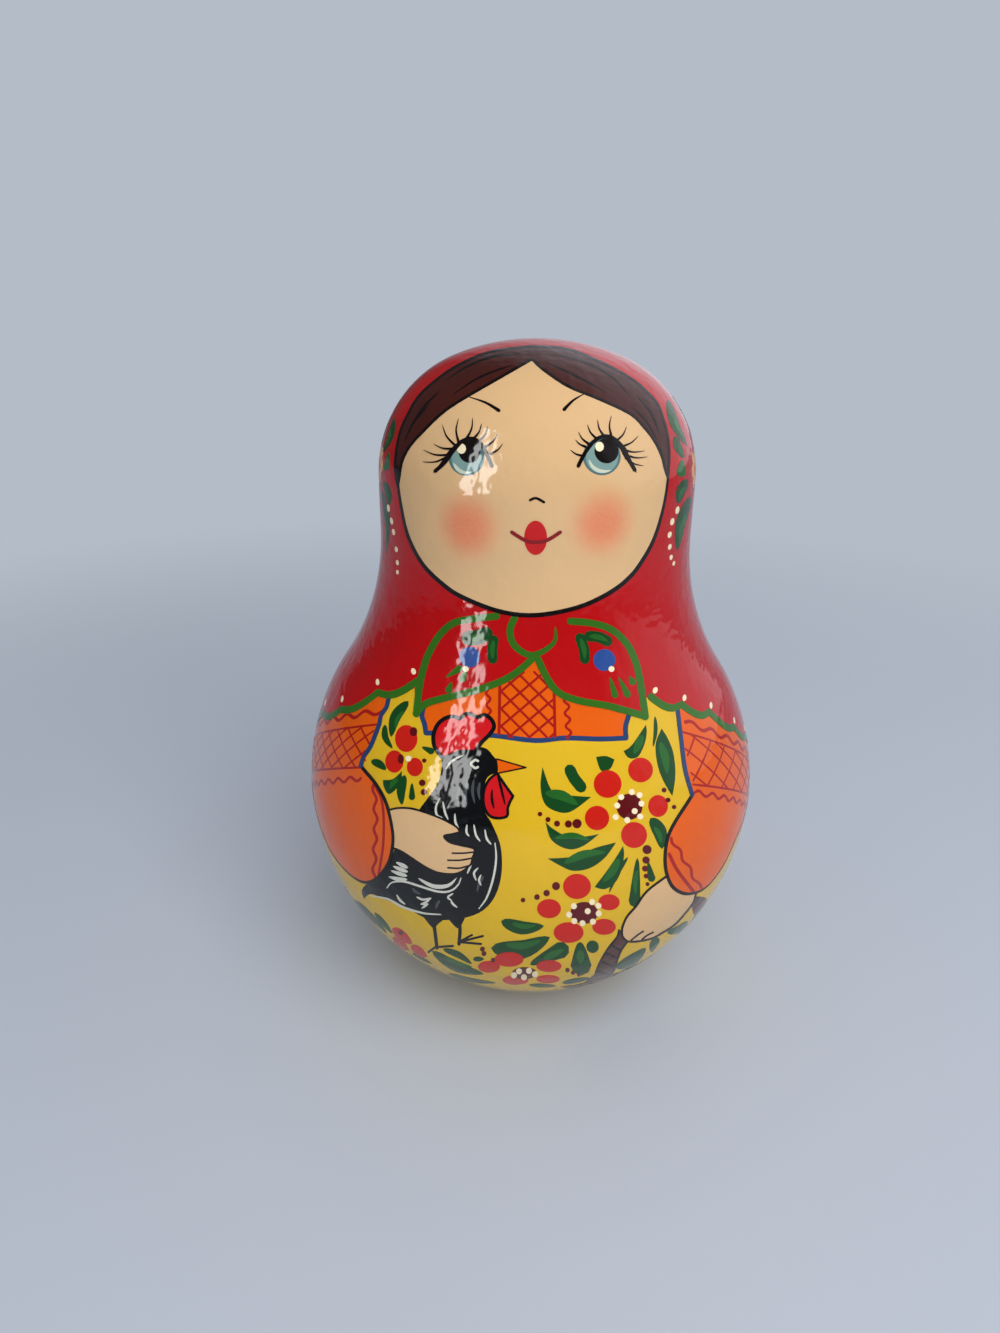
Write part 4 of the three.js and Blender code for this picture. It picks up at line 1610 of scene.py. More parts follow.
@dataclass
class Sleeves(Painter):
    """The two puffed sleeves with their hatched bands and cuffs.

    The cuffs are in pixels of the photograph. What lies behind is given as turns and heights, and the
    lines on the sleeves are millimetres wide.
    """

    sleeves: tuple[SleeveSide, SleeveSide] = (
        SleeveSide(-1, ((362, 767), (376, 784), (387, 805), (393, 832), (392, 851), (387, 866), (376, 879),
                        (364, 882), (351, 875), (337, 860), (326, 841)),
                   ((392, 690), (380, 726), (372, 746), (362, 767)), 43.4, 43.8, -0.0037, (85.4, -0.30),
                   (82.8, -0.31), (74.0, -0.345), (71.6, -0.39), ((49.4, 4.9, -13.0), (35.7, 6.3, 15.0))),
        SleeveSide(1, ((692, 795), (676, 820), (667, 840), (665, 864), (670, 883), (680, 892), (693, 893),
                       (707, 886), (722, 867), (735, 840)),
                   ((677, 696), (681, 740), (685, 770), (692, 795)), 41.9, 45.2, -0.005, (85.7, -0.373),
                   (83.4, -0.363), (72.8, -0.343), (71.1, -0.388), ((47.0, 5.6, -11.5), (27.7, 8.8, 19.0))),
    )
    behind: Run = ((72.0, 54.5), (84.0, 58.5), (97.0, 63.0))
    under_hem: Run = ((97.0, 66.0), (76.0, 76.0), (55.0, 86.0))
    sheet_turn: float = 60.0
    sheet_z: float = 65.0
    outline: float = 0.8
    upper_wave: Triple = (0.8, 0.6, 6.8)
    lower_wave: Triple = (0.66, 0.5, 5.0)
    band_line: float = 0.5
    band_turns: tuple[int, int] = (90, 45)
    band_gap: float = 1.0
    band_steps: int = 8
    lattice_line: float = 0.45
    lattice_end: float = 86.0
    lattice_gap: float = 0.8
    lattice_steps: int = 24
    lattice_least: int = 3
    cuff_waves: Runs = (
        ((374.3, 784), (376, 817), (375.4, 842), (374.3, 879)), ((671, 838), (684, 860), (700, 888)))
    cuff_wave: Triple = (2.7, 1.7, 20.0)
    cuff_lines: Runs = (
        ((375, 785), (382, 800), (384, 820), (383.4, 846), (379, 874)),
        ((669, 854), (677, 870), (693, 891)))
    cuff_widths: Pair = (2.4, 3.4)

    def _line(self, chart: SkinChart, sleeve: SleeveSide, band: Pair, start: float) -> Run:
        """Follows a band from a turn to the sleeve's end.

        Args:
            chart: The sleeve's sheet.
            sleeve: The sleeve.
            band: The band's height and slope.
            start: The turn at which it starts.

        Returns:
            Places on the sheet.
        """
        for end in range(*self.band_turns, -1):
            if sleeve.height(band, end) > level_at(self.behind, end) + self.band_gap:
                break
        turns = steps_between(start, end, self.band_steps)
        return chart.run(((turn, sleeve.height(band, turn)) for turn in turns), sleeve.side)

    def _lattice(self, pen: Pen, chart: SkinChart, sleeve: SleeveSide, high: float, low: float) -> None:
        """Draws one lattice line between the straight bands, as far as the sleeve goes.

        Args:
            pen: The pen of the hatching.
            chart: The sleeve's sheet.
            sleeve: The sleeve.
            high: The line's turn at the upper band.
            low: Its turn at the lower band.
        """
        upper = Vector((high, sleeve.height(sleeve.upper_line, high)))
        lower = Vector((low, sleeve.height(sleeve.lower_line, low)))
        inside = []
        for share in steps_between(0.0, 1.0, self.lattice_steps):
            turn, height = upper.lerp(lower, share)
            if turn >= sleeve.start and height > level_at(self.behind, turn) + self.lattice_gap:
                inside.append((turn, height))
        if len(inside) > self.lattice_least:
            pen.stroke(chart.run((inside[0], inside[-1]), sleeve.side), self.lattice_line)

    def _sleeve(self, sleeve: SleeveSide) -> None:
        """Paints one sleeve."""
        chart = SkinChart(self.form, sleeve.side * self.sheet_turn, self.sheet_z)
        armhole = chart.seen(self.photo, sleeve.armhole)
        edge = chart.seen(self.photo, sleeve.puff) + chart.run(self.behind, sleeve.side)
        hidden = chart.run(self.under_hem, sleeve.side)
        ground = self.pen("sleeves", SLEEVE_ORANGE, Level.SLEEVE, chart)
        ground.fill(armhole, edge, (edge[-1], *hidden, armhole[0]))
        self.pen("sleeve_lines", LINE_BLACK, Level.LINE, chart).stroke(edge, self.outline, Brush.CURL)
        pen = self.pen("sleeve_hatch", HATCH_RED, Level.HATCH, chart)
        pen.wave(self._line(chart, sleeve, sleeve.upper_wave, sleeve.wave_start), *self.upper_wave)
        for band in (sleeve.upper_line, sleeve.lower_line):
            pen.stroke(self._line(chart, sleeve, band, sleeve.start), self.band_line)
        pen.wave(self._line(chart, sleeve, sleeve.lower_wave, sleeve.start), *self.lower_wave)
        for first, pitch, lean in sleeve.lattice:
            for count in range(math.ceil((self.lattice_end - first) / pitch)):
                turn = first + pitch * count
                self._lattice(pen, chart, sleeve, turn, turn + lean)

    def draw(self) -> None:
        """Paints both sleeves and their cuffs."""
        for sleeve in self.sleeves:
            self._sleeve(sleeve)
        pen = self.pen("sleeve_hatch", HATCH_RED, Level.HATCH)
        for wave, line, width in zip(self.cuff_waves, self.cuff_lines, self.cuff_widths):
            pen.wave(wave, *self.cuff_wave).stroke(line, width)


@dataclass
class Hands(Painter):
    """The two hands, one on the rooster and one on the basket's handle, in pixels of the photograph."""

    left_top: Run = ((388, 810.5), (398, 808), (414, 809), (438, 817), (455.5, 826), (460, 832))
    left_low: Run = (
        (460, 832), (452, 834), (444, 836), (449.6, 842), (460, 845), (473, 848), (474.5, 852),
        (472.5, 858), (470, 865), (458, 873), (441, 873), (426, 867), (403, 852), (392, 847.5))
    right_back: Run = ((668, 875), (647, 891), (636, 906), (626.6, 917), (622, 928))
    right_low: Run = (
        (622, 928), (622.5, 936), (628, 941), (638, 941), (652, 938), (663, 932), (675, 924), (685, 913),
        (693, 902.5), (696, 892))
    edge_line: float = 2.0
    fingers: Runs = (
        ((452.5, 853), (463, 853), (473, 852)), ((448, 860), (460, 860), (471.6, 858)),
        ((448, 867.5), (459, 868), (469, 865.5)), ((631, 940), (637, 935), (643, 931)),
        ((642, 939), (647, 935), (653, 932)))
    finger_line: float = 1.7

    def draw(self) -> None:
        """Paints the hands and their thin lines."""
        left, right = (self.left_top, self.left_low), (self.right_back, self.right_low)
        self.pen("hands", SKIN, Level.HAND).fill(*left).fill(*right)
        line = self.pen("hand_lines", LINE_BLACK, Level.SLEEVE)
        line.strokes(left + right, self.edge_line).strokes(self.fingers, self.finger_line)


@dataclass
class Rooster(Painter):
    """A black rooster in the crook of the doll's arm, in pixels of the photograph."""

    breast: Run = (
        (498, 772), (486, 780), (484, 808), (491.5, 823), (499.5, 842), (502, 860), (500.5, 880),
        (494, 898), (482, 911), (464, 918), (445, 920), (428, 919), (410, 910), (387, 900), (371, 894),
        (364, 899))
    tail: Run = ((364, 899), (362, 890), (369, 882), (387, 869), (394, 851))
    back: Run = (
        (394, 851), (405, 832), (419, 810), (433, 791), (439, 780), (442, 766), (442, 759), (449, 751),
        (465, 747), (485, 748), (494, 757), (498, 760))
    comb: Runs = (
        ((442, 757), (435, 747), (433.5, 736), (437.5, 725), (445, 718.5), (453, 716.5), (460, 718.5)),
        ((460, 718.5), (466, 714), (472, 714.5), (478, 717.5)),
        ((478, 717.5), (485, 715), (492, 720.3), (494, 727.6), (489, 735), (482, 742), (476, 750)),
        ((476, 750), (460, 750), (442, 757)))
    comb_line: float = 4.0
    wattle: Run = (
        (497, 773), (505, 785), (513, 796), (508, 807), (507, 816), (497, 818), (489, 815), (484, 805),
        (484, 791), (489, 780))
    wattle_lines: Runs = (((497.5, 774), (501, 787.5), (505, 804)), ((492, 790), (492, 799), (494, 808)))
    wattle_line: float = 2.8
    beak: Runs = (((497, 759), (526, 767.5)), ((526, 767.5), (499, 773)), ((499, 773), (497, 759)))
    beak_line: float = 1.5
    legs: Runs = (((433, 916), (435, 932), (437, 948)), ((459, 916), (460, 930), (459, 944)))
    leg_line: float = 3.4
    thighs: Runs = (
        ((422, 915), (433, 928), (438, 924), (447, 917)), ((447, 917), (457, 928), (462, 924), (467, 913)))
    toes: Runs = (
        ((437, 946), (428.5, 952)), ((437, 947), (453, 946)), ((459, 942), (472, 935)),
        ((459, 942), (483, 936)), ((459, 942), (481, 944)))
    toe_line: float = 2.2
    thick_feathers: Runs = (
        ((408, 868), (402, 865), (396, 862)), ((408, 872), (400, 869), (393, 866)),
        ((407.5, 876), (399, 873.5), (391, 870.5)), ((407.5, 879.5), (398, 879), (388.5, 876.5)),
        ((418, 878), (433, 886), (448, 885.5), (457, 877.5)))
    thick_line: float = 4.0
    thin_feathers: Runs = (
        ((387, 888), (392, 882.5), (404, 881.5), (421, 886.5), (438, 891.5), (450, 891), (458, 885),
        (461, 878)), ((370, 895.5), (388, 899), (403, 907), (423, 913), (441, 914.5)),
        ((495, 843), (496.2, 858), (493.5, 877), (487, 897), (479, 908.5)),
        ((446, 769), (452, 761), (464, 755)), ((440, 798), (436, 807), (437, 815), (442, 817.5)),
        ((443, 802), (445, 812), (448, 819)), ((455, 814), (455.5, 822), (458.5, 828)),
        ((467, 825), (466.5, 832), (469, 836)), ((474, 825), (476, 835), (480, 841)),
        ((485, 830), (487, 839), (491, 844)), ((471, 861), (470, 867), (467.5, 873)),
        ((478, 868), (474, 873), (476, 880)), ((481, 875), (479, 880), (481, 885)),
        ((417, 897), (423, 899.5), (431, 898)), ((431, 898), (426, 902), (421, 904)),
        ((421, 904), (428, 904)), ((428, 904), (422, 908)), ((397, 895), (400, 900), (405, 904)),
        ((453, 893.5), (448, 897), (451, 900)), ((451, 900), (453, 904), (457, 907)))
    thin_line: float = 2.2
    soft_feathers: Runs = (
        ((468, 780), (467, 806)), ((474, 779), (475, 804)), ((480, 782), (480, 800)),
        ((461, 784), (459, 806)), ((468, 850), (465, 868)), ((484, 876), (477, 892)),
        ((440, 900), (436, 909)), ((412, 888), (421, 894)))
    soft_line: float = 3.0
    soft_bend: float = 0.08
    eye: Run = ((478, 761), (475, 760), (471, 764), (475, 768), (478, 767))
    eye_line: float = 2.4

    def draw(self) -> None:
        """Paints the bird."""
        black = self.pen("rooster", FEATHER_BLACK, Level.GROUND)
        black.fill(self.breast, self.tail, self.back, (self.back[-1], self.breast[0]))
        for leg, thigh in zip(self.legs, self.thighs):
            black.stroke(leg, self.leg_line).fill(thigh, (thigh[-1], thigh[0]))
        black.strokes(self.toes, self.toe_line)
        self.pen("rooster_comb", COMB_RED, Level.FINE).fill(*self.comb).loop(*self.wattle)
        self.pen("rooster_beak", SLEEVE_ORANGE, Level.FINE).fill(*self.beak)
        black = self.pen("rooster", FEATHER_BLACK, Level.HAND).strokes(self.comb[:3], self.comb_line)
        black.strokes((self.wattle[:3], self.wattle[2:] + self.wattle[:1]), self.wattle_line)
        black.strokes(self.wattle_lines, self.wattle_line, Brush.SWELL).strokes(self.beak[:2], self.beak_line)
        pale = self.pen("rooster_feathers", FEATHER_PALE, Level.DETAIL)
        pale.strokes(self.thick_feathers, self.thick_line, Brush.LEAF)
        pale.strokes(self.thin_feathers, self.thin_line, Brush.SWELL).stroke(self.eye, self.eye_line)
        soft = self.pen("rooster_down", FEATHER_GREY, Level.DETAIL)
        soft.leaves((*feather, self.soft_line, self.soft_bend) for feather in self.soft_feathers)


def ring(count: int, radius: float, start: float = 0.0) -> Run:
    """Returns places at equal steps round a circle, from an angle in radians on."""
    angles = [math.tau * step / count + start for step in range(count)]
    return tuple((radius * math.cos(angle), radius * math.sin(angle)) for angle in angles)


@dataclass
class Garden(Painter):
    """Berries, flowers and leaves of the dress.

    What the photograph shows is in its pixels. The blooms behind, which it doesn't show, are in
    millimetres on the skin, at turns and heights.
    """

    leaves: Leaves = (
        ((408.5, 701), (391, 737), 10.9, 0.12), ((385, 724.5), (392.5, 748.5), 6.5, 0.14),
        ((371, 761), (386, 770), 8.0, -0.1), ((405, 775), (402, 805), 9.2, 0.08),
        ((655, 716), (653, 747), 4.0, -0.05), ((650.5, 818), (662, 849), 14.0, -0.12),
        ((628, 857), (609, 893), 4.5, 0.05), ((501, 921), (544, 926), 13.5, 0.10),
        ((491, 948), (550, 937), 19.0, 0.12), ((432, 951), (484, 974), 10.0, 0.08),
        ((443, 949), (472, 964), 6.5, -0.06), ((448, 973.5), (496, 983), 4.5, 0.04),
        ((412, 953), (432, 964), 3.0, 0.0), ((529, 985), (556, 986), 4.0, 0.0),
        ((562, 983), (590, 978), 5.0, 0.0), ((355, 900), (387, 933), 5.5, 0.0),
        ((374.5, 912.5), (392.5, 933.5), 5.0, 0.0), ((616, 968), (646, 948), 11.0, 0.06),
        ((659, 938), (651, 952), 8.0, 0.10), ((473, 959), (484, 959), 5.0, 0.0),
        ((667, 933), (688, 921), 7.0, 0.10))
    drops: Drops = (
        ((412, 783), (412, 797), 6.5), ((637.5, 858), (634.6, 901), 12.0), ((648, 862), (651.5, 878), 8.0),
        ((530, 964.5), (561, 950), 17.0), ((580, 942), (581, 965), 21.0), ((422, 747), (431, 751), 7.0))
    bean: Run = ((570, 770), (574, 778), (581, 787))
    bean_width: float = 11.5
    pea: Pair = (592.6, 946.7)
    pea_radius: float = 6.2
    petals: Drops = (
        ((392.5, 928), (412, 944), 9.5), ((393, 937), (409, 950.5), 6.5), ((411, 945.5), (427, 957), 8.0))
    shapes: tuple[Runs, ...] = (
        (((542.5, 767), (540.5, 787), (545, 804), (557, 811.5), (571, 811.5), (591, 797)),
        ((591, 797), (576, 796), (563.5, 794.5), (551.5, 790), (542.5, 767))),
        (((545.5, 822), (551.5, 840), (568, 849), (583, 846), (599, 834)),
        ((599, 834), (585, 836.5), (568, 836.5), (554, 829.5), (545.5, 822))),
        (((548, 858.5), (559, 865), (573, 870.7), (590, 868), (605, 857.5), (616, 842.5)),
        ((616, 842.5), (595, 848), (576, 856), (561, 858), (548, 858.5))),
        (((623, 846), (617, 856), (606, 872), (594.5, 887)),
        ((594.5, 887), (605, 889), (615.5, 882), (621.5, 869.5), (624, 855), (623, 846))),
        (((596, 757), (606, 756), (614.5, 759.5)), ((614.5, 759.5), (610, 769), (601, 770.5), (596, 757))),
        (((402, 771), (400, 784), (389.5, 794), (384, 787), (383, 780)),
        ((383, 780), (393, 779), (402, 771))),
        (((661.7, 728.6), (656.3, 741), (655.8, 754), (659, 770), (665, 784), (672.3, 796)),
        ((672.3, 796), (675, 780), (675, 765), (672.5, 750), (667.5, 738), (661.7, 728.6))),
        (((646, 724.5), (637, 738), (630, 747), (623.6, 751)),
        ((623.6, 751), (627.5, 757), (633, 758.5), (639, 755.5), (644.5, 744), (646.6, 733), (646, 724.5))))
    cores: Leaves = (
        ((545, 793), (578, 805), 10.0, -0.10), ((555, 838), (590, 840), 6.0, -0.10),
        ((660, 742), (667, 774), 8.0, -0.05), ((564, 863), (606, 852), 8.0, -0.08),
        ((619, 858), (603, 882), 8.0, -0.06), ((505, 944), (541, 940), 7.0, 0.1),
        ((642.5, 735), (634, 754), 8.0, 0.0), ((398, 779), (390, 789), 5.0, 0.1),
        ((404, 711), (395, 728), 4.0, 0.1), ((512, 923), (536, 925), 5.0, 0.1),
        ((654, 827), (661, 843), 5.0, -0.1), ((543, 959), (564, 949), 6.5, 0.0),
        ((637, 870), (635.5, 894), 5.0, 0.05), ((444, 956), (472, 967), 4.0, 0.05),
        ((580, 950), (581, 964), 8.0, 0.0))
    berries: Ovals = (
        ((406.3, 738.5), 11.2, 13.5), ((394.4, 761.5), 9.1, 11.2), ((414.9, 767), 8.0, 9.3),
        ((607.6, 784), 13.9, 13.9), ((640.5, 770), 12.4, 12.4), ((658, 806), 9.9, 11.0),
        ((634, 835), 13.0, 13.0), ((597, 818), 12.2, 12.2), ((577, 886.4), 14.0, 12.6),
        ((549, 908.6), 12.0, 9.6), ((568.6, 932.5), 15.0, 10.3), ((604, 926.8), 11.8, 8.0),
        ((609, 902.2), 10.7, 8.0), ((508.9, 959.4), 14.7, 7.3), ((549, 966), 12.6, 5.9),
        ((489, 966.7), 11.0, 5.9), ((515.6, 980), 13.0, 4.7), ((548, 979), 11.7, 4.1))
    hearts: Ovals = (
        ((629.4, 806.6), 13.0, 13.0), ((584.2, 912.8), 13.7, 10.9), ((524.4, 973), 12.3, 5.9),
        ((401, 932.5), 2.6, 2.2), ((413.6, 731.7), 3.7, 4.6), ((401, 759), 3.0, 4.8),
        ((424.3, 760.6), 2.2, 2.2))
    seeds: Rounds = (
        ((577, 823.6), 4.6), ((568.4, 824), 3.6), ((557, 823.6), 3.0), ((548, 819.5), 2.6),
        ((540, 814), 2.3), ((556, 886), 4.0), ((546.6, 893), 3.2), ((537, 897), 2.8), ((523, 900), 2.3),
        ((664, 790), 2.4), ((668, 800), 2.4), ((674, 807), 2.2), ((647, 849.5), 4.5), ((646, 860), 3.6),
        ((645, 868.5), 3.0), ((646, 876), 2.4), ((647.5, 884), 2.0), ((482.5, 949), 2.4),
        ((484, 953.5), 2.4), ((493, 960), 2.2), ((567.5, 970), 2.2), ((573, 972.6), 2.0),
        ((578.7, 974.6), 1.8), ((422.3, 782.8), 3.3), ((424, 792), 3.2))
    dots: Run = (
        (631.7, 792), (639.4, 795), (641.3, 803.5), (634.5, 811), (640, 816.5), (627, 820), (615.5, 817),
        (617, 805.5), (621, 797), (592, 901.8), (598.3, 905.6), (598.6, 913.4), (592.8, 921.4),
        (582.4, 923), (574.2, 920.8), (569, 914.5), (573.8, 906), (587.6, 911), (408.5, 758.6), (519, 971),
        (529, 970.5), (535, 974), (514, 975), (524, 977))
    dot_radius: float = 3.0
    blooms: Run = (
        (-78.0, 27.0), (-112.0, 37.0), (-150.0, 27.0), (176.0, 20.0), (144.0, 31.0), (108.0, 36.0))
    bloom_heart: float = 2.6
    bloom_berries: tuple[int, float, float] = (5, 5.4, 0.3)
    bloom_berry: float = 2.6
    bloom_dots: tuple[int, float] = (9, 2.7)
    bloom_dot: float = 0.6
    bloom_leaves: Run = ((20, 10.0), (62, 8.0), (160, 10.0), (205, 9.0), (335, 9.0), (118, 7.0))
    bloom_foot: float = 8.2
    bloom_leaf: Pair = (3.6, 0.12)
    core_inset: Pair = (1.6, 1.4)
    bloom_core: Pair = (1.2, 0.10)

    def _pens(self, chart: Chart | None = None) -> tuple[Pen, ...]:
        """Returns the pens for leaves, cores, berries, hearts and dots on a sheet."""
        return (
            self.pen("dress_leaves", LEAF_GREEN, Level.GROUND, chart),
            self.pen("dress_leaf_cores", CORE_GREEN, Level.DETAIL, chart),
            self.pen("dress_berries", BERRY_RED, Level.DETAIL, chart),
            self.pen("dress_hearts", MAROON, Level.FINE, chart),
            self.pen("dress_dots", CREAM, Level.HAND, chart),
        )

    def _bloom(self, turn: float, height: float) -> None:
        """Paints a flower with leaves on the side that the photograph doesn't show.

        Args:
            turn: Its place round the doll, in degrees.
            height: Its height.
        """
        leaf, core, berry, heart, pale = self._pens(SkinChart(self.form, turn, height))
        heart.oval((0, 0), self.bloom_heart)
        berry.dots(self.bloom_berry, ring(*self.bloom_berries))
        pale.dots(self.bloom_dot, ring(*self.bloom_dots))
        near, far = self.core_inset
        for angle, length in self.bloom_leaves:
            out = Vector((math.cos(math.radians(angle)), math.sin(math.radians(angle))))
            tip = self.bloom_foot + length
            leaf.leaf(out * self.bloom_foot, out * tip, *self.bloom_leaf)
            core.leaf(out * (self.bloom_foot + near), out * (tip - far), *self.bloom_core)

    def draw(self) -> None:
        """Paints the flowers in front and behind."""
        leaf, core, berry, heart, pale = self._pens()
        leaf.leaves(self.leaves).leaves((*drop, 0.0, Brush.DROP) for drop in self.drops)
        leaf.stroke(self.bean, self.bean_width).oval(self.pea, self.pea_radius)
        berry.leaves(self.petals)
        for runs in self.shapes:
            leaf.fill(*runs)
        core.leaves(self.cores)
        berry.ovals(self.berries)
        heart.ovals(self.hearts).ovals(self.seeds)
        pale.dots(self.dot_radius, self.dots)
        for turn, height in self.blooms:
            self._bloom(turn, height)


@dataclass
class Basket(Painter):
    """The wicker basket that hangs from the right hand, mostly hidden in the photograph.

    The handle is in pixels of the photograph. The rest is given as turns and heights, with lines in
    millimetres.
    """

    handle_left: Run = ((619, 930), (617, 937), (609, 947), (601, 960), (596, 972), (595.5, 979))
    handle_right: Run = ((610, 977), (615, 968), (618, 958), (622, 949), (629, 939), (630, 930))
    handle_end: Run = ((696, 897), (706.4, 898.5), (703.5, 906), (695.5, 916), (692, 906))
    handle_line: float = 1.8
    grip: Pair = (624.7, 932.6)
    grip_radius: float = 4.5
    twists: Runs = (
        ((606, 953), (617, 958)), ((611, 945), (620, 950)), ((602, 962), (614, 967)),
        ((598, 971), (609, 975)))
    twist_line: float = 2.0
    middle: Pair = (40.0, 20.0)
    legs: Runs = (
        ((21.5, 27.0), (20.5, 24.0), (20.0, 20.0)),
        ((49.5, 40.0), (52.5, 34.0), (56.0, 27.0), (58.5, 20.0)))
    leg_width: float = 2.4
    rim: Run = ((12.0, 20.5), (40.0, 22.0), (68.0, 20.5))
    rim_line: float = 0.6
    foot: Run = ((60.0, 11.0), (40.0, 10.0), (20.0, 11.0))
    rows: Run = ((13.0, 20.0), (15.5, 22.0), (18.0, 24.0))
    row_steps: int = 4
    row_wave: Triple = (0.4, 0.5, 3.6)

    def draw(self) -> None:
        """Paints the handle, the basket and its weave."""
        brown = self.pen("basket", WICKER_BROWN, Level.GROUND)
        brown.fill(self.handle_left, self.handle_right).loop(*self.handle_end)
        line = self.pen("basket_weave", LINE_BLACK, Level.DETAIL).oval(self.grip, self.grip_radius)
        line.strokes((self.handle_left, self.handle_right), self.handle_line)
        line.strokes(self.twists, self.twist_line)
        chart = SkinChart(self.form, *self.middle)
        brown = self.pen("basket", WICKER_BROWN, Level.GROUND, chart)
        brown.strokes((chart.run(leg) for leg in self.legs), self.leg_width)
        rim, foot = chart.run(self.rim), chart.run(self.foot)
        brown.fill(rim, (rim[-1], foot[0]), foot, (foot[-1], rim[0]))
        line = self.pen("basket_weave", LINE_BLACK, Level.DETAIL, chart).stroke(rim, self.rim_line)
        for height, reach in self.rows:
            turns = steps_between(chart.turn - reach, chart.turn + reach, self.row_steps)
            line.wave(chart.run((turn, height) for turn in turns), *self.row_wave)


@dataclass
class Chime:
    """The metal ballast and chime inside: CAD shapes, but for a finer striker ball."""

    finishes: tuple[tuple[str, Metal], ...] = (
        ("ballast_weight", CAST_IRON), ("chime_plate", PLATE_STEEL), ("hanger_arch", PLATE_STEEL),
        ("striker_ball", STRIKER_BRASS), ("chime_rod", ROD_STEEL), ("", ZINC_STEEL))
    wooden: tuple[str, str] = ("lower_shell", "upper_shell")
    striker: str = "striker"
    ball_node: str = "striker_ball"
    ball_slot: str = "striker_brass"
    ball_radius: float = 7.5
    ball_rows: int = 48
    ball_steps: int = 96
    ball_skin: float = 0.99
    seat_radius: float = 1.3
    seat_depth: float = 6.3

    def _ball(self) -> None:
        """Turns the brass ball with the drilled seat of its stem."""
        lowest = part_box(self.ball_node)[0]
        centre = Vector((0.0, 0.0, lowest[2] / MM + self.ball_radius))
        mouth = math.acos(self.seat_radius / self.ball_radius)
        outline = []
        for angle in steps_between(-math.pi / 2, mouth, self.ball_rows):
            outline.append(Vector((math.cos(angle), 0.0, math.sin(angle))) * self.ball_radius)
        for radius in (self.seat_radius, 0.0):
            outline.append(Vector((radius, 0.0, self.ball_radius - self.seat_depth)))
        ball = lathe([centre + place for place in outline], self.ball_steps)
        for face in ball.faces:
            away = (face.calc_center_median() / MM - centre).length
            face.smooth = away > self.ball_radius * self.ball_skin
        mesh = meshed("brass_ball", ball, STRIKER_BRASS)
        finished_piece(mesh, self.ball_node, self.striker)

    def build(self) -> None:
        """Gives every inner node its metal, by the first start of its name that is listed."""
        self._ball()
        for name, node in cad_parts.items():
            if name in self.wooden:
                continue
            finish = next(metal for start, metal in self.finishes if name.startswith(start))
            node.data.materials.clear()
            node.data.materials.append(finish.material())
            LOG.info("%s: %s", name, finish.name)


@dataclass(frozen=True)
class Lamp:
    """A soft rectangular lamp, in metres, with a glow of 1 where its face is white.

    A mirrored lamp only shows in the lacquer, and any other only lights.
    """

    name: str
    place: Triple
    aim: Triple
    size: Pair
    glow: float
    mirrored: bool

    def build(self) -> None:
        """Hangs the lamp."""
        data = bpy.data.lights.new(self.name, "AREA")
        data.shape = "RECTANGLE"
        data.size, data.size_y = self.size
        data.energy = self.glow * math.pi * self.size[0] * self.size[1]
        lamp = bpy.data.objects.new(self.name, data)
        lamp.location = self.place
        look = Vector(self.aim) - Vector(self.place)
        lamp.rotation_euler = look.to_track_quat("-Z", "Y").to_euler()
        lamp.visible_camera = False
        lamp.visible_glossy = self.mirrored
        lamp.visible_diffuse = not self.mirrored
        bpy.context.scene.collection.objects.link(lamp)


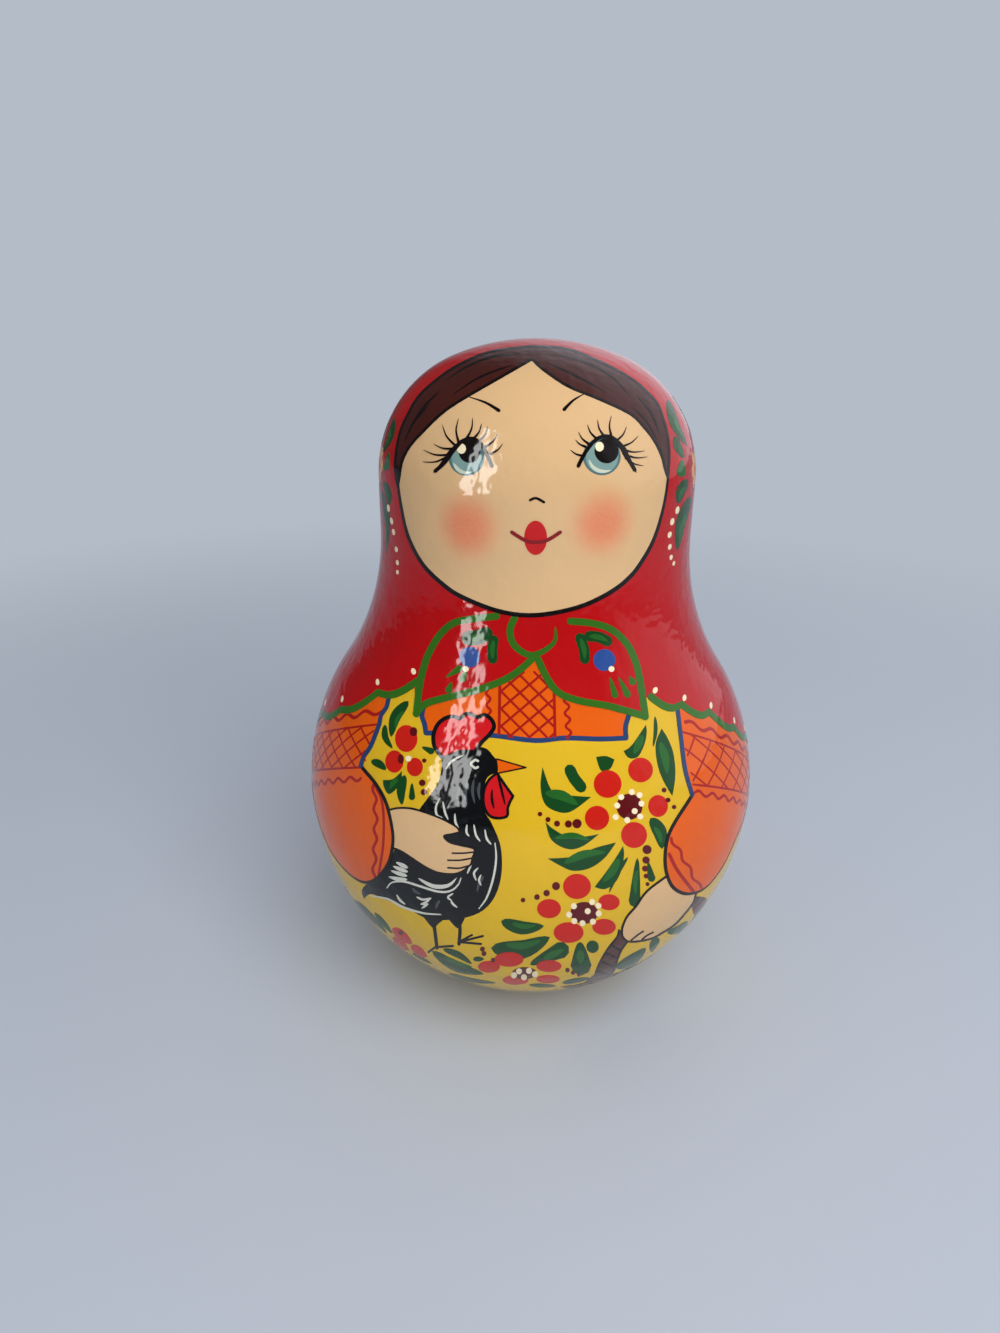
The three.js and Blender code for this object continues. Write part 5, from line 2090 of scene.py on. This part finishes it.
@dataclass
class Studio:
    """The pale floor, the soft light and the photograph's camera, in metres."""

    photo: PhotoChart
    floor_radius: float = 3.0
    floor_sides: int = 96
    floor_drop: float = 0.00005
    paint: FloorPaint = FloorPaint("floor_paint", (193, 200, 211), (180, 188, 200))
    sky: Colour = (238, 244, 255)
    room_glow: float = 0.42
    dark_side: float = 0.08
    pale_side: float = 1.05
    pale_way: Triple = (0.85, 0.5, 0.15)
    pale_start: float = 0.22
    pale_full: float = 0.78
    clip_start: float = 0.01
    lamps: tuple[Lamp, ...] = (
        Lamp("window_near", (-0.292, -0.432, 0.41), (0.0, 0.0, 0.41), (0.05, 0.59), 12.0, True),
        Lamp("window_far", (-0.362, -0.376, 0.41), (0.0, 0.0, 0.41), (0.05, 0.59), 12.0, True),
        Lamp("soft_box", (0.26, -0.62, 0.72), (0.0, 0.0, 0.08), (0.8, 0.8), 3.9, False),
    )

    def _floor(self) -> None:
        """Lays a wide plain floor."""
        sheet = bmesh.new()
        bmesh.ops.create_circle(sheet, cap_ends=True, segments=self.floor_sides, radius=self.floor_radius)
        bmesh.ops.translate(sheet, verts=sheet.verts[:], vec=(0.0, 0.0, -self.floor_drop))
        floor = bpy.data.objects.new("floor", meshed("floor", sheet, self.paint))
        bpy.context.scene.collection.objects.link(floor)

    def _world(self) -> None:
        """Surrounds the doll with even light; the lacquer mirrors a room that is pale on the right."""
        world = bpy.data.worlds.new("studio")
        graph = Graph(world)
        shade: list[bpy.types.NodeSocket] = []
        for colour, glow in (
            (self.sky, self.dark_side), (self.sky, self.pale_side), (self.sky, self.room_glow),
            (self.paint.backdrop, 1.0),
        ):
            back = graph.node("ShaderNodeBackground", {}, {"Color": linear(colour), "Strength": glow})
            shade.append(back.outputs[0])
        dark, pale, even, backdrop = shade
        way = graph.node("ShaderNodeTexCoord").outputs["Generated"]
        rays = graph.node("ShaderNodeLightPath").outputs
        share = graph.ramp(graph.measure("DOT_PRODUCT", way, self.pale_way), self.pale_start, self.pale_full)
        light = graph.mixed(rays["Is Glossy Ray"], even, graph.mixed(share, dark, pale))
        seen = graph.mixed(rays["Is Camera Ray"], light, backdrop)
        graph.node("ShaderNodeOutputWorld", {}, {"Surface": seen})
        bpy.context.scene.world = world

    def _camera(self) -> None:
        """Sets up the camera that took the photograph."""
        data = bpy.data.cameras.new("camera")
        data.sensor_width = self.photo.sensor_width
        data.lens = self.photo.focal * self.photo.sensor_width / self.photo.frame_height
        data.clip_start = self.clip_start
        camera = bpy.data.objects.new("camera", data)
        camera.location = Vector(self.photo.eye) * MM
        camera.rotation_euler = self.photo.rotation.to_euler()
        bpy.context.scene.collection.objects.link(camera)
        bpy.context.scene.camera = camera

    def build(self) -> None:
        """Sets up the scene round the doll."""
        self._camera()
        self._floor()
        self._world()
        for lamp in self.lamps:
            lamp.build()
        bpy.context.scene.view_settings.view_transform = "Standard"


def main() -> None:
    """Builds the studio and dresses the doll from the wood outwards."""
    logging.basicConfig(level=logging.INFO, format="%(name)s: %(message)s")
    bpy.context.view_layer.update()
    form = TurnedForm()
    photo = PhotoChart(form)
    Studio(photo).build()
    Shells(form).build()
    Chime().build()
    for part in (Dress, Garden, Basket, Rooster, Hands, Sleeves, Scarf, Face):
        part(form, photo).build()


if __name__ == "__main__":
    main()
